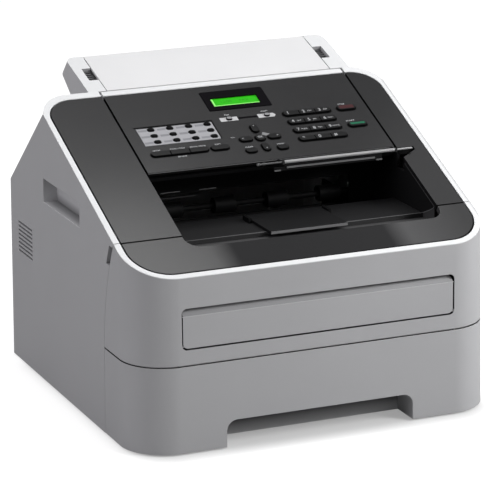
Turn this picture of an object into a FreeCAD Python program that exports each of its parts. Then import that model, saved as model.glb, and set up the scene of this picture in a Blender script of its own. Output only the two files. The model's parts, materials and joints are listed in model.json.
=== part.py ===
import FreeCAD, Part
import math
import os
import Sketcher

# Desktop fax machine, sheet fed, with a laser print engine and a front paper tray.
# Millimetres and degrees. The front faces -Y, +X is the right side seen from the front,
# and the origin is on the floor under the middle of the casing.

DIMENSIONS = {
    # Casing: a block drafted at the front and sides, under a sloping top and a chamfered rear
    "body_width": 368, "front_depth": 181, "rear_depth": 174, "floor_gap": 1.5,
    "draft_angle": 0.63, "front_corner_radius": 44, "rear_corner_radius": 4,
    "top_slope": 22.8, "top_middle_height": 244.064, "top_thickness": 7, "wall": 3,
    "shoulder_end": 67.6, "knee_height": 181.7, "knee_radius": 8,
    "tower_back": 93, "tower_corner_radius": 32, "seam_gap": 0.5, "side_cover_wrap": 44,
    # White trim and the dark top inside it
    "trim_thickness": 1, "dark_side_margin": 8.2, "dark_front_margin": 7.25, "dark_back": 85.5,
    "dark_front_radius": 37, "dark_back_radius": 28, "trim_gap": 1.4, "trim_seat": 0.3,
    "trim_groove": 4,
    # Scanner unit and output bay, set in from the right side of the casing
    "unit_side_margin": 37.25, "unit_width": 261.5, "unit_gap": 2.2, "bay_front": -141,
    "bay_corner_radius": 14, "bay_floor_height": 176.5, "bay_step": -94.5, "bay_step_height": 4,
    "bay_ridge": 0.6, "bay_ridge_width": 1.2, "bay_floor_knee": -30, "bay_rear": 18,
    "bay_rear_height": 150, "paper_slot_height": 28, "paper_slot_width": 210,
    "wing_notch_front": -51.5, "wing_notch_tip": -42, "wing_notch_back": -37, "wing_notch_reach": 17,
    # Front cover and the slot that feeds single sheets
    "cover_seam_foot": -97, "cover_seam_radius": 227, "lip_gap": 1.5, "tray_top": 84.4,
    "cover_hinge_inset": 7.1, "cover_hinge_rise": 4.5, "cover_bevel": 1.2, "tray_bevel": 2.8,
    "cover_pin_radius": 2, "cover_pin_place": 120, "hinge_eye_radius": 2.9, "running_fit": 0.05,
    "recess_side_margin": 46, "recess_bottom": 100, "recess_top": 139.4, "recess_depth": 14,
    "recess_corner": 5, "slot_cover_gap": 1.3, "slot_cover_bend": 131.5, "slot_cover_lean": 5,
    "slot_cover_thickness": 3, "slot_cover_setback": 1.8, "slot_pin_radius": 1.2, "slot_pin_rise": 2,
    "pocket_wall": 2.5, "feed_slot_width": 220, "feed_slot_height": 10, "feed_slot_rise": 6,
    # Paper tray
    "tray_grip_width": 189.8, "tray_grip_height": 27, "tray_grip_depth": 33, "tray_grip_corner": 10,
    "pan_width": 260, "pan_back": 160, "pan_bottom": 6.5, "pan_height": 53, "pan_wall": 2.5,
    "lift_plate_width": 212, "lift_plate_front": -134, "lift_plate_back": 20, "lift_plate_thickness": 2,
    "lift_plate_gap": 0.4, "lift_pin_radius": 1,
    # Side covers: carrying recess, finger notch at the seam and cooling slots
    "grip_front": -33, "grip_back": 70, "grip_bottom": 184.5, "grip_top": 208, "grip_depth": 16,
    "notch_width": 8, "notch_bottom": 168.5, "notch_top": 187.5, "notch_depth": 8,
    "vent_front": 106, "vent_length": 42, "vent_bottom": 115.5, "vent_pitch": 4.2, "vent_height": 2,
    "vent_count": 8,
    # Rear cover, door and sockets
    "door_side_margin": 84, "door_bottom": 20, "door_height": 108, "door_bulge": 7, "door_margin": 14,
    "door_pin_radius": 1, "door_pin_rise": 3.5, "socket_height": 75, "inlet_width": 27.6,
    "inlet_height": 19.6, "jack_width": 11.6, "jack_pitch": 24, "socket_fit": 0.2, "socket_depth": 22,
    "screw_radius": 3.5, "screw_head": 2,
    # Control panel; places across are from the unit's middle, places up from the panel's lower edge
    "panel_front": -34, "panel_lip": 3, "panel_lip_depth": 17, "panel_box_depth": 14, "panel_box_inset": 8,
    "panel_hinge_place": 90, "panel_hinge_depth": 3, "panel_pin_radius": 1.2, "panel_pin_length": 6,
    "strip_bevel": 1.5, "key_height": 1.8, "key_length": 9.8, "key_clearance": 0.35, "key_corner": 1.2,
    "lcd_left": -32.4, "lcd_low": 86.6, "lcd_width": 66, "lcd_depth": 31, "lcd_margin": 7,
    "card_left": -116, "card_low": 41.6, "card_width": 78, "card_depth": 28.6, "card_thickness": 0.8,
    "seat_gap": 0.2,
    # Document feeder behind the panel
    "feeder_width": 280, "feeder_front": 95.2, "feeder_front_height": 282.3, "feeder_slope": 17.1,
    "feeder_depth": 71.5, "feeder_back": 178, "feeder_back_height": 289, "feeder_foot": 106.5,
    "feeder_foot_height": 242, "feeder_corner": 9, "support_offset": -0.9, "support_width": 241,
    "support_gap": 0.9, "support_thickness": 2.6, "feeder_recess": 9.5, "support_pin_radius": 1.1,
    "guide_slot_width": 9.5, "guide_slot_low": 23, "guide_slot_length": 24, "guide_gap": 0.6,
    "chute_depth": 17, "chute_lip_depth": 8, "chute_thickness": 3, "chute_end_gap": 9.5,
    # Flaps over the output bay; places across are from the unit's middle
    "rod_place": -45, "rod_height": 229.1, "rod_radius": 1.7, "rod_left": 7, "rod_right": 123.6,
    "wing_radius": 1, "wing_left": -22, "wing_right": 142.5, "rod_lug_width": 2, "flap_left": -4,
    "flap_right": 110, "flap_drop": 8.2, "flap_thickness": 1.4, "flap_bar_left": 9, "flap_bar_right": 102,
    "flap_bar_drop": 6, "flap_bar_height": 1.6, "flap_bar_reach": 1,
    "stop_left": -33, "stop_right": 46, "stop_front": -105, "stop_back": -45, "stop_thickness": 2.6,
    "stop_gap": 0.4, "stop_pin_radius": 1.5, "stop_pin_inset": 2, "stop_boss_length": 14,
    # Frame and print engine
    "frame_wall_inset": 29, "frame_wall": 3, "frame_front": -140, "frame_back": 160,
    "frame_height": 150, "deck_front": -100, "deck_thickness": 3, "roller_shaft_radius": 3,
    "exit_roller_place": 25, "exit_roller_height": 174, "exit_roller_radius": 8,
    "pickup_place": -118, "pickup_height": 76, "pickup_radius": 7.5, "pickup_width": 50,
    "feeder_roller_place": 103.6, "feeder_roller_radius": 7, "feeder_sleeve": 20, "exit_sleeve": 22,
    "scan_low": 55.6, "scan_depth": 22, "scan_height": 13, "scan_glass_low": 63.1, "scan_glass_depth": 7,
    "engine_width": 228, "toner_height": 44, "drum_height": 32, "fuser_depth": 60, "fuser_height": 46,
    "foot_radius": 9, "foot_inset": 34,
}

doc = FreeCAD.newDocument("fax_machine")
sheet = doc.addObject("Spreadsheet::Sheet", "Sheet")
for row, (alias, number) in enumerate(DIMENSIONS.items(), 1):
    sheet.set(f"A{row}", alias)
    sheet.set(f"B{row}", str(number))
    sheet.setAlias(f"B{row}", alias)
doc.recompute()


# Sizes that carry their number and their spreadsheet expression together
class Size:
    def __init__(self, value, text):
        self.value = value
        self.text = text

    def __add__(self, other):
        other = as_size(other)
        return Size(self.value + other.value, f"({self.text} + {other.text})")

    def __sub__(self, other):
        other = as_size(other)
        return Size(self.value - other.value, f"({self.text} - {other.text})")

    def __mul__(self, other):
        other = as_size(other)
        return Size(self.value * other.value, f"({self.text} * {other.text})")

    def __truediv__(self, other):
        other = as_size(other)
        return Size(self.value / other.value, f"({self.text} / {other.text})")

    def __radd__(self, other):
        return as_size(other) + self

    def __rsub__(self, other):
        return as_size(other) - self

    def __rmul__(self, other):
        return as_size(other) * self

    def __neg__(self):
        return 0 - self


def as_size(item):
    return item if isinstance(item, Size) else Size(float(item), f"({item})")


def sine(angle):
    return Size(math.sin(math.radians(angle.value)), f"sin({angle.text})")


def cosine(angle):
    return Size(math.cos(math.radians(angle.value)), f"cos({angle.text})")


def tangent(angle):
    return Size(math.tan(math.radians(angle.value)), f"tan({angle.text})")


def root(item):
    return Size(math.sqrt(item.value), f"sqrt({item.text})")


class Named:
    pass


d = Named()
for alias, number in DIMENSIONS.items():
    setattr(d, alias, Size(float(number), f"Sheet.{alias}"))


# Building blocks
SIDEWAYS = FreeCAD.Rotation(FreeCAD.Vector(1, 1, 1), 120)
LEVEL = FreeCAD.Rotation()
X_AXIS = FreeCAD.Vector(1, 0, 0)
Y_AXIS = FreeCAD.Vector(0, 1, 0)


def bind(item, name, size):
    item.setExpression(name, as_size(size).text)


def place(item, rotation, x, y, z):
    x, y, z = as_size(x), as_size(y), as_size(z)
    item.Placement = FreeCAD.Placement(FreeCAD.Vector(x.value, y.value, z.value), rotation)
    bind(item, "Placement.Base.x", x)
    bind(item, "Placement.Base.y", y)
    bind(item, "Placement.Base.z", z)


def box(name, x, y, z):
    item = doc.addObject("Part::Box", name)
    bind(item, "Length", as_size(x[1]) - x[0])
    bind(item, "Width", as_size(y[1]) - y[0])
    bind(item, "Height", as_size(z[1]) - z[0])
    place(item, LEVEL, x[0], y[0], z[0])
    return item


def rod(name, x, y, z, radius):
    """A cylinder lying along X from x[0] to x[1]."""
    item = doc.addObject("Part::Cylinder", name)
    bind(item, "Radius", radius)
    bind(item, "Height", as_size(x[1]) - x[0])
    place(item, FreeCAD.Rotation(Y_AXIS, 90), x[0], y, z)
    return item


def post(name, x, y, z, radius):
    """A cylinder standing along Z from z[0] to z[1]."""
    item = doc.addObject("Part::Cylinder", name)
    bind(item, "Radius", radius)
    bind(item, "Height", as_size(z[1]) - z[0])
    place(item, LEVEL, x, y, z[0])
    return item


def fuse(name, *items):
    result = doc.addObject("Part::MultiFuse", name)
    result.Shapes = list(items)
    result.Refine = True
    return result


def cut(name, base, *tools):
    result = doc.addObject("Part::Cut", name)
    result.Base = base
    result.Tool = tools[0] if len(tools) == 1 else fuse(name + "_tools", *tools)
    result.Refine = True
    return result


def common(name, first, second):
    result = doc.addObject("Part::Common", name)
    result.Base = first
    result.Tool = second
    result.Refine = True
    return result


def fillet(body, name, radius, wanted):
    """Rounds the edges of a body's last feature that the test called wanted picks."""
    doc.recompute()
    base = body.Tip
    edges = [f"Edge{i}" for i, edge in enumerate(base.Shape.Edges, 1) if wanted(edge)]
    feature = body.newObject("PartDesign::Fillet", name)
    feature.Base = (base, edges)
    bind(feature, "Radius", radius)
    return feature


def bevel(name, base, size, wanted):
    """Bevels the edges of a finished solid that the test called wanted picks by their middle."""
    doc.recompute()
    edges = []
    for number, edge in enumerate(base.Shape.Edges, 1):
        first, last = edge.ParameterRange
        if wanted(edge.valueAt((first + last) / 2), edge.BoundBox):
            edges.append((number, size.value, size.value))
    feature = doc.addObject("Part::Chamfer", name)
    feature.Base = base
    feature.Edges = edges
    return feature


def across_at(point):
    """Picks the straight edge that runs across the outline's plane at one of its points."""
    def wanted(edge):
        return all(math.hypot(v.X - point[0].value, v.Y - point[1].value) < 1e-4 for v in edge.Vertexes)
    return wanted


def pad(name, outline, length, rounds=()):
    """A body padded from an outline of straight edges; rounds holds (radius, point numbers)."""
    outline = [(as_size(a), as_size(b)) for a, b in outline]
    body = doc.addObject("PartDesign::Body", name)
    sketch = body.newObject("Sketcher::SketchObject", name + "_outline")
    plane = [item for item in body.Origin.OriginFeatures if item.Role == "XY_Plane"][0]
    sketch.AttachmentSupport = (plane, [""])
    sketch.MapMode = "FlatFace"
    corners = [FreeCAD.Vector(a.value, b.value, 0) for a, b in outline]
    count = len(corners)
    for i in range(count):
        sketch.addGeometry(Part.LineSegment(corners[i], corners[(i + 1) % count]), False)
    for i in range(count):
        sketch.addConstraint(Sketcher.Constraint("Coincident", i, 2, (i + 1) % count, 1))
    for i, corner in enumerate(outline):
        for kind, size in zip(("DistanceX", "DistanceY"), corner):
            number = sketch.addConstraint(Sketcher.Constraint(kind, -1, 1, i, 1, size.value))
            bind(sketch, f"Constraints[{number}]", size)
    feature = body.newObject("PartDesign::Pad", name + "_pad")
    feature.Profile = sketch
    bind(feature, "Length", length)
    for number, (radius, points) in enumerate(rounds):
        tests = [across_at(outline[i]) for i in points]
        fillet(body, f"{name}_round{number}", radius, lambda edge: any(test(edge) for test in tests))
    return body


def side_prism(name, outline, x, rounds=()):
    """An outline of (y, z) points carried along X."""
    body = pad(name, outline, as_size(x[1]) - x[0], rounds)
    place(body, SIDEWAYS, x[0], 0, 0)
    return body


def plan_prism(name, outline, z, rounds=()):
    """An outline of (x, y) points carried up along Z."""
    body = pad(name, outline, as_size(z[1]) - z[0], rounds)
    place(body, LEVEL, 0, 0, z[0])
    return body


def front_prism(name, outline, y, rounds=()):
    """An outline of (x, z) points carried along Y."""
    body = pad(name, outline, as_size(y[1]) - y[0], rounds)
    place(body, FreeCAD.Rotation(X_AXIS, 90), 0, y[1], 0)
    return body


def oblong(x, y):
    return [(x[0], y[0]), (x[1], y[0]), (x[1], y[1]), (x[0], y[1])]


def around(middle, half):
    return middle - half, middle + half


def grown(x, y, margin):
    """An oblong outline that much larger all round."""
    return oblong((x[0] - margin, x[1] + margin), (y[0] - margin, y[1] + margin))


NODES = []


def node(name, item):
    item.Label = name
    NODES.append(item)


# Levels and places that several pieces share
half_width = d.body_width / 2
front = -d.front_depth
rear = d.rear_depth
rise = tangent(d.top_slope)
dark_half = half_width - d.dark_side_margin
unit_right = half_width - d.unit_side_margin
unit_left = unit_right - d.unit_width
unit_middle = unit_right - d.unit_width / 2
wide = (-half_width - 20, half_width + 20)
split = half_width - d.side_cover_wrap
frame_wall_place = half_width - d.frame_wall_inset
gap = d.seam_gap


def top_height(y):
    return d.top_middle_height + as_size(y) * rise


def on_top(v, w):
    """The (y, z) of a point v up the sloping top from the casing's middle and w above it."""
    v, w = as_size(v), as_size(w)
    y = v * cosine(d.top_slope) - w * sine(d.top_slope)
    z = d.top_middle_height + v * sine(d.top_slope) + w * cosine(d.top_slope)
    return y, z


def up_slope(y):
    return as_size(y) / cosine(d.top_slope)


def on_feeder(v, w):
    """The (y, z) of a point v back along the feeder's top and w above it."""
    v, w = as_size(v), as_size(w)
    y = d.feeder_front + v * cosine(d.feeder_slope) - w * sine(d.feeder_slope)
    z = d.feeder_front_height + v * sine(d.feeder_slope) + w * cosine(d.feeder_slope)
    return y, z


chamfer_fall = (top_height(d.shoulder_end) - d.knee_height) / (rear - d.shoulder_end)


def chamfer_height(y):
    return top_height(d.shoulder_end) - (as_size(y) - d.shoulder_end) * chamfer_fall


def panel_prism(name, outline, w, rounds=()):
    """An outline of (x, distance up the slope) points carried along the panel's normal."""
    body = pad(name, outline, as_size(w[1]) - w[0], rounds)
    y, z = on_top(0, w[0])
    place(body, FreeCAD.Rotation(X_AXIS, d.top_slope.value), 0, y, z)
    bind(body, "Placement.Rotation.Angle", d.top_slope)
    return body


# Casing solids that the covers are taken from
def drafted_block(name, inset):
    height = top_height(rear) + 20
    lean = height * tangent(d.draft_angle)
    block = doc.addObject("Part::Wedge", name + "_block")
    sizes = {"Xmin": inset - half_width, "Xmax": half_width - inset, "Ymin": 0, "Ymax": height,
             "Zmin": inset - rear, "Zmax": d.front_depth - inset}
    for place_name, size in sizes.items():
        bind(block, place_name, size)
    bind(block, "X2min", sizes["Xmin"] + lean)
    bind(block, "X2max", sizes["Xmax"] - lean)
    bind(block, "Z2min", sizes["Zmin"])
    bind(block, "Z2max", sizes["Zmax"] - lean)
    block.Placement = FreeCAD.Placement(FreeCAD.Vector(), FreeCAD.Rotation(X_AXIS, 90))
    doc.recompute()
    rounded = doc.addObject("Part::Fillet", name)
    rounded.Base = block
    edges = []
    for number, edge in enumerate(block.Shape.Edges, 1):
        first, last = edge.Vertexes
        if abs(first.Z - last.Z) > 1:
            corner = d.front_corner_radius if first.Y < 0 else d.rear_corner_radius
            radius = (corner - inset).value
            edges.append((number, radius, radius))
    rounded.Edges = edges
    return rounded


def casing_solid(name, inset, drop, bottom):
    fall = inset * root(1 + chamfer_fall * chamfer_fall)
    ridge = d.shoulder_end + (drop - fall) / (rise + chamfer_fall)
    back = rear - inset
    start = front - 10
    profile = side_prism(
        name + "_profile",
        [(start, bottom), (start, top_height(start) - drop), (ridge, top_height(ridge) - drop),
         (back, chamfer_height(back) - fall), (back, bottom)],
        wide, rounds=[(d.knee_radius - inset, (3,))])
    tower_half = half_width - inset - top_height(d.shoulder_end) * tangent(d.draft_angle)
    tower_end = d.tower_back - inset
    low = d.knee_height + d.wall
    tower = side_prism(
        name + "_tower",
        oblong((front / 2, tower_end), (low, low))[:2]
        + [(tower_end, top_height(tower_end) - drop), (front / 2, top_height(front / 2) - drop)],
        (-tower_half, tower_half))
    fillet(tower, name + "_tower_corners", d.tower_corner_radius - inset,
           lambda edge: all(abs(v.X - tower_end.value) < 1e-4 for v in edge.Vertexes)
           and abs(edge.Vertexes[0].Y - edge.Vertexes[-1].Y) > 1)
    return common(name, drafted_block(name + "_draft", inset), fuse(name + "_mass", profile, tower))


def under_top(name, drop):
    """Everything lower than a plane that far below the sloping top."""
    start, end = front - 20, rear + 20
    return side_prism(name, [(start, -20), (start, top_height(start) - drop), (end, top_height(end) - drop),
                             (end, -20)], wide)


no_inset = as_size(0)
outer = casing_solid("outer", no_inset, no_inset, d.floor_gap)
inner = casing_solid("inner", d.wall, d.top_thickness, d.floor_gap - 20)
top_slab = cut("top_slab", outer, under_top("under_slab", d.top_thickness))
trim_slab = cut("trim_slab", outer, under_top("under_trim", d.trim_thickness))
rim = common("rim", cut("hollow", outer, inner), under_top("under_trim_seat", d.trim_thickness))


def cover_zone(name, clearance):
    """What lies ahead of the curved seam between the front cover and the side covers."""
    return rod(name, wide, d.cover_seam_foot - d.cover_seam_radius, d.tray_top,
               d.cover_seam_radius - clearance)


def dark_zone(name, inset):
    inset = as_size(inset)
    x = (inset - dark_half, dark_half - inset)
    y = (front + d.dark_front_margin + inset, d.dark_back - inset)
    return plan_prism(name, oblong(x, y), (d.tray_top, top_height(rear)),
                      rounds=[(d.dark_front_radius - inset, (0, 1)), (d.dark_back_radius - inset, (2, 3))])


dark_hole = dark_zone("dark_hole", 0)
shell = cut("shell", rim, dark_hole)
ring = cut("ring", trim_slab, dark_hole)
dark_face = common("dark_face", top_slab, dark_zone("dark_zone", d.trim_gap))
dark_foot = common("dark_foot", common("foot_slab", top_slab, under_top("under_groove", d.trim_groove)),
                   dark_zone("dark_seat", d.trim_seat))
dark_top = fuse("dark_top", dark_face, dark_foot)
cover_space = cover_zone("cover_space", no_inset)
tray_space = box("tray_space", wide, (front - 10, d.cover_seam_foot), (-20, d.tray_top))
rear_shell = cut("rear_shell", shell, cover_space, tray_space)
unit_space = box("unit_space", (unit_left, unit_right), (front, rear), (0, top_height(rear) + 20))

chute_end = up_slope(d.feeder_front) - d.chute_end_gap
chute_fall = (d.chute_depth + d.chute_thickness) / cosine(d.top_slope)
path_low = top_height(d.tower_back - d.wall) - chute_fall - 1
document_path = box("document_path", (unit_left - gap, unit_right + gap), (d.shoulder_end, d.feeder_front),
                    (path_low, top_height(rear)))
panel_axis = (d.panel_hinge_place, top_height(d.panel_hinge_place) - d.panel_hinge_depth)
pin_reach = d.panel_pin_length + 0.5
panel_pin_holes = rod("panel_pin_holes", (unit_left - pin_reach, unit_right + pin_reach), *panel_axis,
                      d.panel_pin_radius + d.running_fit)


# Covers
def side_cover(name, side):
    outside = half_width + 5
    x = (split, outside) if side > 0 else (-outside, -split)
    skin = common(name + "_skin", rear_shell, box(name + "_half", x, (front, rear), (0, top_height(rear))))
    edge = half_width - d.grip_top * tangent(d.draft_angle) - d.wall / 2
    deep = half_width - d.grip_depth
    frame = d.pocket_wall

    def mirrored(near, far):
        return (near, far) if side > 0 else (-far, -near)

    y = (d.grip_front, d.grip_back)
    z = (d.grip_bottom, d.grip_top)
    pocket = box(name + "_pocket", mirrored(deep - frame, edge), (y[0] - frame, y[1] + frame),
                 (z[0] - frame, z[1] + frame))
    hollow = box(name + "_grip", mirrored(deep, outside), y, z)
    notch_floor = half_width - d.notch_depth
    notch_y = (front, d.cover_seam_foot + d.notch_width)
    backing = box(name + "_backing", mirrored(notch_floor - frame, edge), notch_y,
                  (d.notch_bottom - frame, d.notch_top + frame))
    notch = box(name + "_notch_box", mirrored(notch_floor, outside), notch_y, (d.notch_bottom, d.notch_top))
    band = common(name + "_notch", notch, cover_zone(name + "_notch_zone", -d.notch_width))
    backed = common(name + "_backed", backing, cover_zone(name + "_backing_zone", -d.notch_width - frame))
    under = under_top(name + "_backing_top", d.top_thickness + gap)
    behind = cut(name + "_behind", common(name + "_backing_low", backed, under), cover_space)
    slots = []
    for i in range(int(d.vent_count.value)):
        low = d.vent_bottom + d.vent_pitch * i
        slots.append(box(f"{name}_vent{i}", mirrored(split + 15, outside),
                         (d.vent_front, d.vent_front + d.vent_length), (low, low + d.vent_height)))
    body = fuse(name + "_body", skin, pocket, behind)
    node(name, cut(name, body, hollow, band, document_path, panel_pin_holes, *slots))


side_cover("left_side_cover", -1)
side_cover("right_side_cover", 1)

door_half = half_width - d.door_side_margin
door_top = d.door_bottom + d.door_height
door_axis = (rear - d.wall / 2, d.door_bottom + d.door_pin_rise)
door_back = rear + d.door_bulge
socket_place = (door_half + split) / 2
inlet_half = (d.inlet_width / 2, d.inlet_height / 2)
jack_half = d.jack_width / 2
jack_heights = (d.socket_height, d.socket_height + d.jack_pitch)


def rear_cover():
    middle = box("rear_middle", (gap - split, split - gap), (d.dark_back - 1, rear + 5),
                 (d.floor_gap + 3.5, top_height(rear)))
    skin = common("rear_skin", rear_shell, middle)
    depth = (rear - 20, rear + 5)
    opening = box("door_opening", around(no_inset, door_half + gap), depth,
                  (d.door_bottom - gap, door_top + gap))
    hole = rod("door_pin_holes", around(no_inset, door_half + 3), *door_axis,
               d.door_pin_radius + d.running_fit)
    fit = d.socket_fit
    sockets = [box("inlet_opening", around(socket_place, inlet_half[0] + fit), depth,
                   around(d.socket_height, inlet_half[1] + fit))]
    for height in jack_heights:
        sockets.append(box("jack_opening", around(-socket_place, jack_half + fit), depth,
                           around(height, jack_half + fit)))
    node("rear_cover", cut("rear_cover", skin, document_path, opening, hole, panel_pin_holes, *sockets))


def rear_door():
    plate = box("door_plate", (-door_half, door_half), (rear - d.wall, rear),
                (d.door_bottom, door_top))
    margin = d.door_margin
    y = (rear - d.wall / 2, door_back)
    z = (d.door_bottom + margin, door_top - margin)
    bulge = side_prism("door_bulge_body", oblong(y, z), (margin - door_half, door_half - margin),
                       rounds=[(d.door_bulge * 0.6, (1, 2))])
    inside = margin + d.wall
    room = box("door_room", (inside - door_half, door_half - inside), (rear - 10, door_back - d.wall),
               (d.door_bottom + inside, door_top - inside))
    pins = rod("door_pins", (-door_half - 2.5, door_half + 2.5), *door_axis, d.door_pin_radius)
    node("rear_door", fuse("rear_door", cut("door_shell", fuse("door_mass", plate, bulge), room), pins))


rear_cover()
rear_door()


def rear_sockets():
    start = rear - d.socket_depth
    depth = (start, rear - 0.5)
    wall = 2
    inlet = cut("inlet_socket",
                box("inlet_block", around(socket_place, inlet_half[0]), depth,
                    around(d.socket_height, inlet_half[1])),
                box("inlet_mouth", around(socket_place, inlet_half[0] - wall), (start + 4, rear),
                    around(d.socket_height, inlet_half[1] - wall)))
    blades = [box("inlet_blade", around(socket_place + d.inlet_width / 4 * side, 2), (start + 2, rear - 6),
                  around(d.socket_height + 3, 1)) for side in (-1, 1)]
    jacks = []
    for height in jack_heights:
        block = box("jack_block", around(-socket_place, jack_half), depth, around(height, jack_half))
        mouth = box("jack_mouth", around(-socket_place, jack_half - wall), (start + 6, rear),
                    (height - jack_half + wall, height + jack_half - wall - 1))
        jacks.append(cut("jack", block, mouth))
    node("rear_sockets", fuse("rear_sockets", fuse("inlet", inlet, *blades), *jacks))


rear_sockets()


def screws():
    heads = []
    for side in (-1, 1):
        for height in (door_top - 6, d.door_bottom - 6):
            screw = doc.addObject("Part::Cylinder", "screw")
            bind(screw, "Radius", d.screw_radius)
            bind(screw, "Height", d.screw_head)
            place(screw, FreeCAD.Rotation(X_AXIS, 90), side * (split - 6), rear + 0.1 + d.screw_head, height)
            heads.append(screw)
    node("screws", fuse("screws", *heads))


screws()


def trim():
    strip_space = box("strip_space", (unit_left, unit_right), (0, rear), (0, top_height(rear)))
    node("top_trim", cut("top_trim", ring, cover_space, strip_space))
    node("front_trim", common("front_trim", ring, cover_zone("trim_cover_zone", gap)))


trim()


stop_left = unit_middle + d.stop_left
stop_right = unit_middle + d.stop_right
stop_low = d.bay_floor_height + d.stop_gap
stop_axis = (d.stop_back - d.stop_pin_inset, stop_low + d.stop_thickness / 2)


def bay_floor():
    """The bay's floor: a low front part, a ridge, a flat part, a slope and the wall under the panel."""
    thick = d.wall
    low_front = d.bay_floor_height - d.bay_step_height
    ridge_top = d.bay_floor_height + d.bay_ridge
    ridge_back = d.bay_step + d.bay_ridge_width
    start = d.bay_front + gap
    back = d.bay_rear + thick
    wall_top = top_height(d.bay_rear) - chute_fall - 1
    outline = [(start, low_front), (d.bay_step, low_front), (d.bay_step, ridge_top), (ridge_back, ridge_top),
               (ridge_back, d.bay_floor_height), (d.bay_floor_knee, d.bay_floor_height),
               (d.bay_rear, d.bay_rear_height), (d.bay_rear, wall_top), (back, wall_top),
               (back, d.bay_rear_height - thick), (d.bay_floor_knee, low_front - thick),
               (start, low_front - thick)]
    floor = side_prism("bay_floor_body", outline, (unit_left - thick, unit_right + thick))
    flap_way = box("flap_way", (stop_left - gap, stop_right + gap), (d.bay_step - 1, ridge_back + 1),
                   (d.bay_floor_height, ridge_top + 1))
    return cut("bay_floor", floor, flap_way)


def top_cover():
    thick = d.wall
    notch_end = unit_right + d.wing_notch_reach
    notch = plan_prism(
        "wing_notch",
        [(unit_right - 2, d.wing_notch_front), (unit_right, d.wing_notch_front),
         (notch_end, d.wing_notch_tip), (notch_end, d.wing_notch_back), (unit_right - 2, d.wing_notch_back)],
        (top_height(d.wing_notch_front) - 2 * d.top_thickness, top_height(0)))
    shoulders = cut("shoulders", dark_top, cover_space, unit_space)
    start = d.cover_seam_foot - 22
    deep = d.bay_floor_height - d.bay_step_height - thick
    low = d.bay_rear_height - thick
    back = d.dark_back - 3
    side_outline = [(start, deep), (start, top_height(start) - thick), (back, top_height(back) - thick),
                    (back, top_height(back) - 60), (d.bay_rear + 25, low), (d.bay_rear, low),
                    (d.bay_floor_knee, deep)]
    walls = [side_prism("bay_wall_left", side_outline, (unit_left - thick, unit_left)),
             side_prism("bay_wall_right", side_outline, (unit_right, unit_right + thick))]
    slot_low = d.exit_roller_height - d.exit_roller_radius - 2
    slot = box("paper_exit", around(unit_middle, d.paper_slot_width / 2),
               (d.bay_rear - 4, d.bay_rear + thick + 4), (slot_low, slot_low + d.paper_slot_height))
    boss_y = (d.stop_back - d.stop_boss_length, d.stop_back + 1)
    boss_z = (d.bay_floor_height - 1, stop_axis[1] + d.stop_pin_radius + 1.6)
    bosses = [box("stop_boss_left", (stop_left - 3.5, stop_left - 0.5), boss_y, boss_z),
              box("stop_boss_right", (stop_right + 0.5, stop_right + 3.5), boss_y, boss_z)]
    stop_hole = rod("stop_holes", (stop_left - 4, stop_right + 4), *stop_axis,
                    d.stop_pin_radius + d.running_fit)
    shaft = d.roller_shaft_radius + d.running_fit
    ends = (unit_left - thick - 1, unit_right + thick + 1)
    exit_hole = rod("exit_shaft_holes", ends, d.exit_roller_place, d.exit_roller_height, shaft)
    feed_hole = rod("feed_shaft_holes", ends, *feeder_roller_axis, shaft)
    body = fuse("top_cover_body", shoulders, bay_floor(), *walls, *bosses)
    node("top_cover", cut("top_cover", body, notch, slot, stop_hole, exit_hole, feed_hole))


panel_low = up_slope(d.panel_front)
panel_high = up_slope(d.dark_back)
feeder_roller_v = panel_low + d.feeder_roller_place
feeder_roller_axis = on_top(feeder_roller_v, -d.chute_depth - d.feeder_roller_radius - 0.4)
top_cover()


# Front cover with its recess, hinge lugs and pins
cover_low = d.tray_top + gap
cover_axis = (front + d.cover_hinge_inset, d.tray_top + d.cover_hinge_rise)
recess_half = half_width - d.recess_side_margin
slot_cover_low = d.recess_bottom + d.slot_cover_gap
slot_axis = (front + d.slot_cover_setback + d.slot_cover_thickness / 2, slot_cover_low + d.slot_pin_rise)


def front_edge_test(level, outside):
    """Picks the edges at one level along the front and its round corners, on one side of the wall."""
    middle = d.wall.value / 2
    lean = level.value * math.tan(math.radians(d.draft_angle.value))
    radius = d.front_corner_radius.value
    centre_x = half_width.value - radius - lean
    centre_y = front.value + radius + lean

    def wanted(point, bounds):
        if bounds.ZLength > 0.01 or abs(point.z - level.value) > 0.01 or point.y > centre_y - 1:
            return False
        past = max(abs(point.x) - centre_x, 0)
        depth = radius - math.hypot(past, point.y - centre_y)
        return abs(depth) < middle if outside else abs(depth - d.wall.value) < middle

    return wanted


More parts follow.
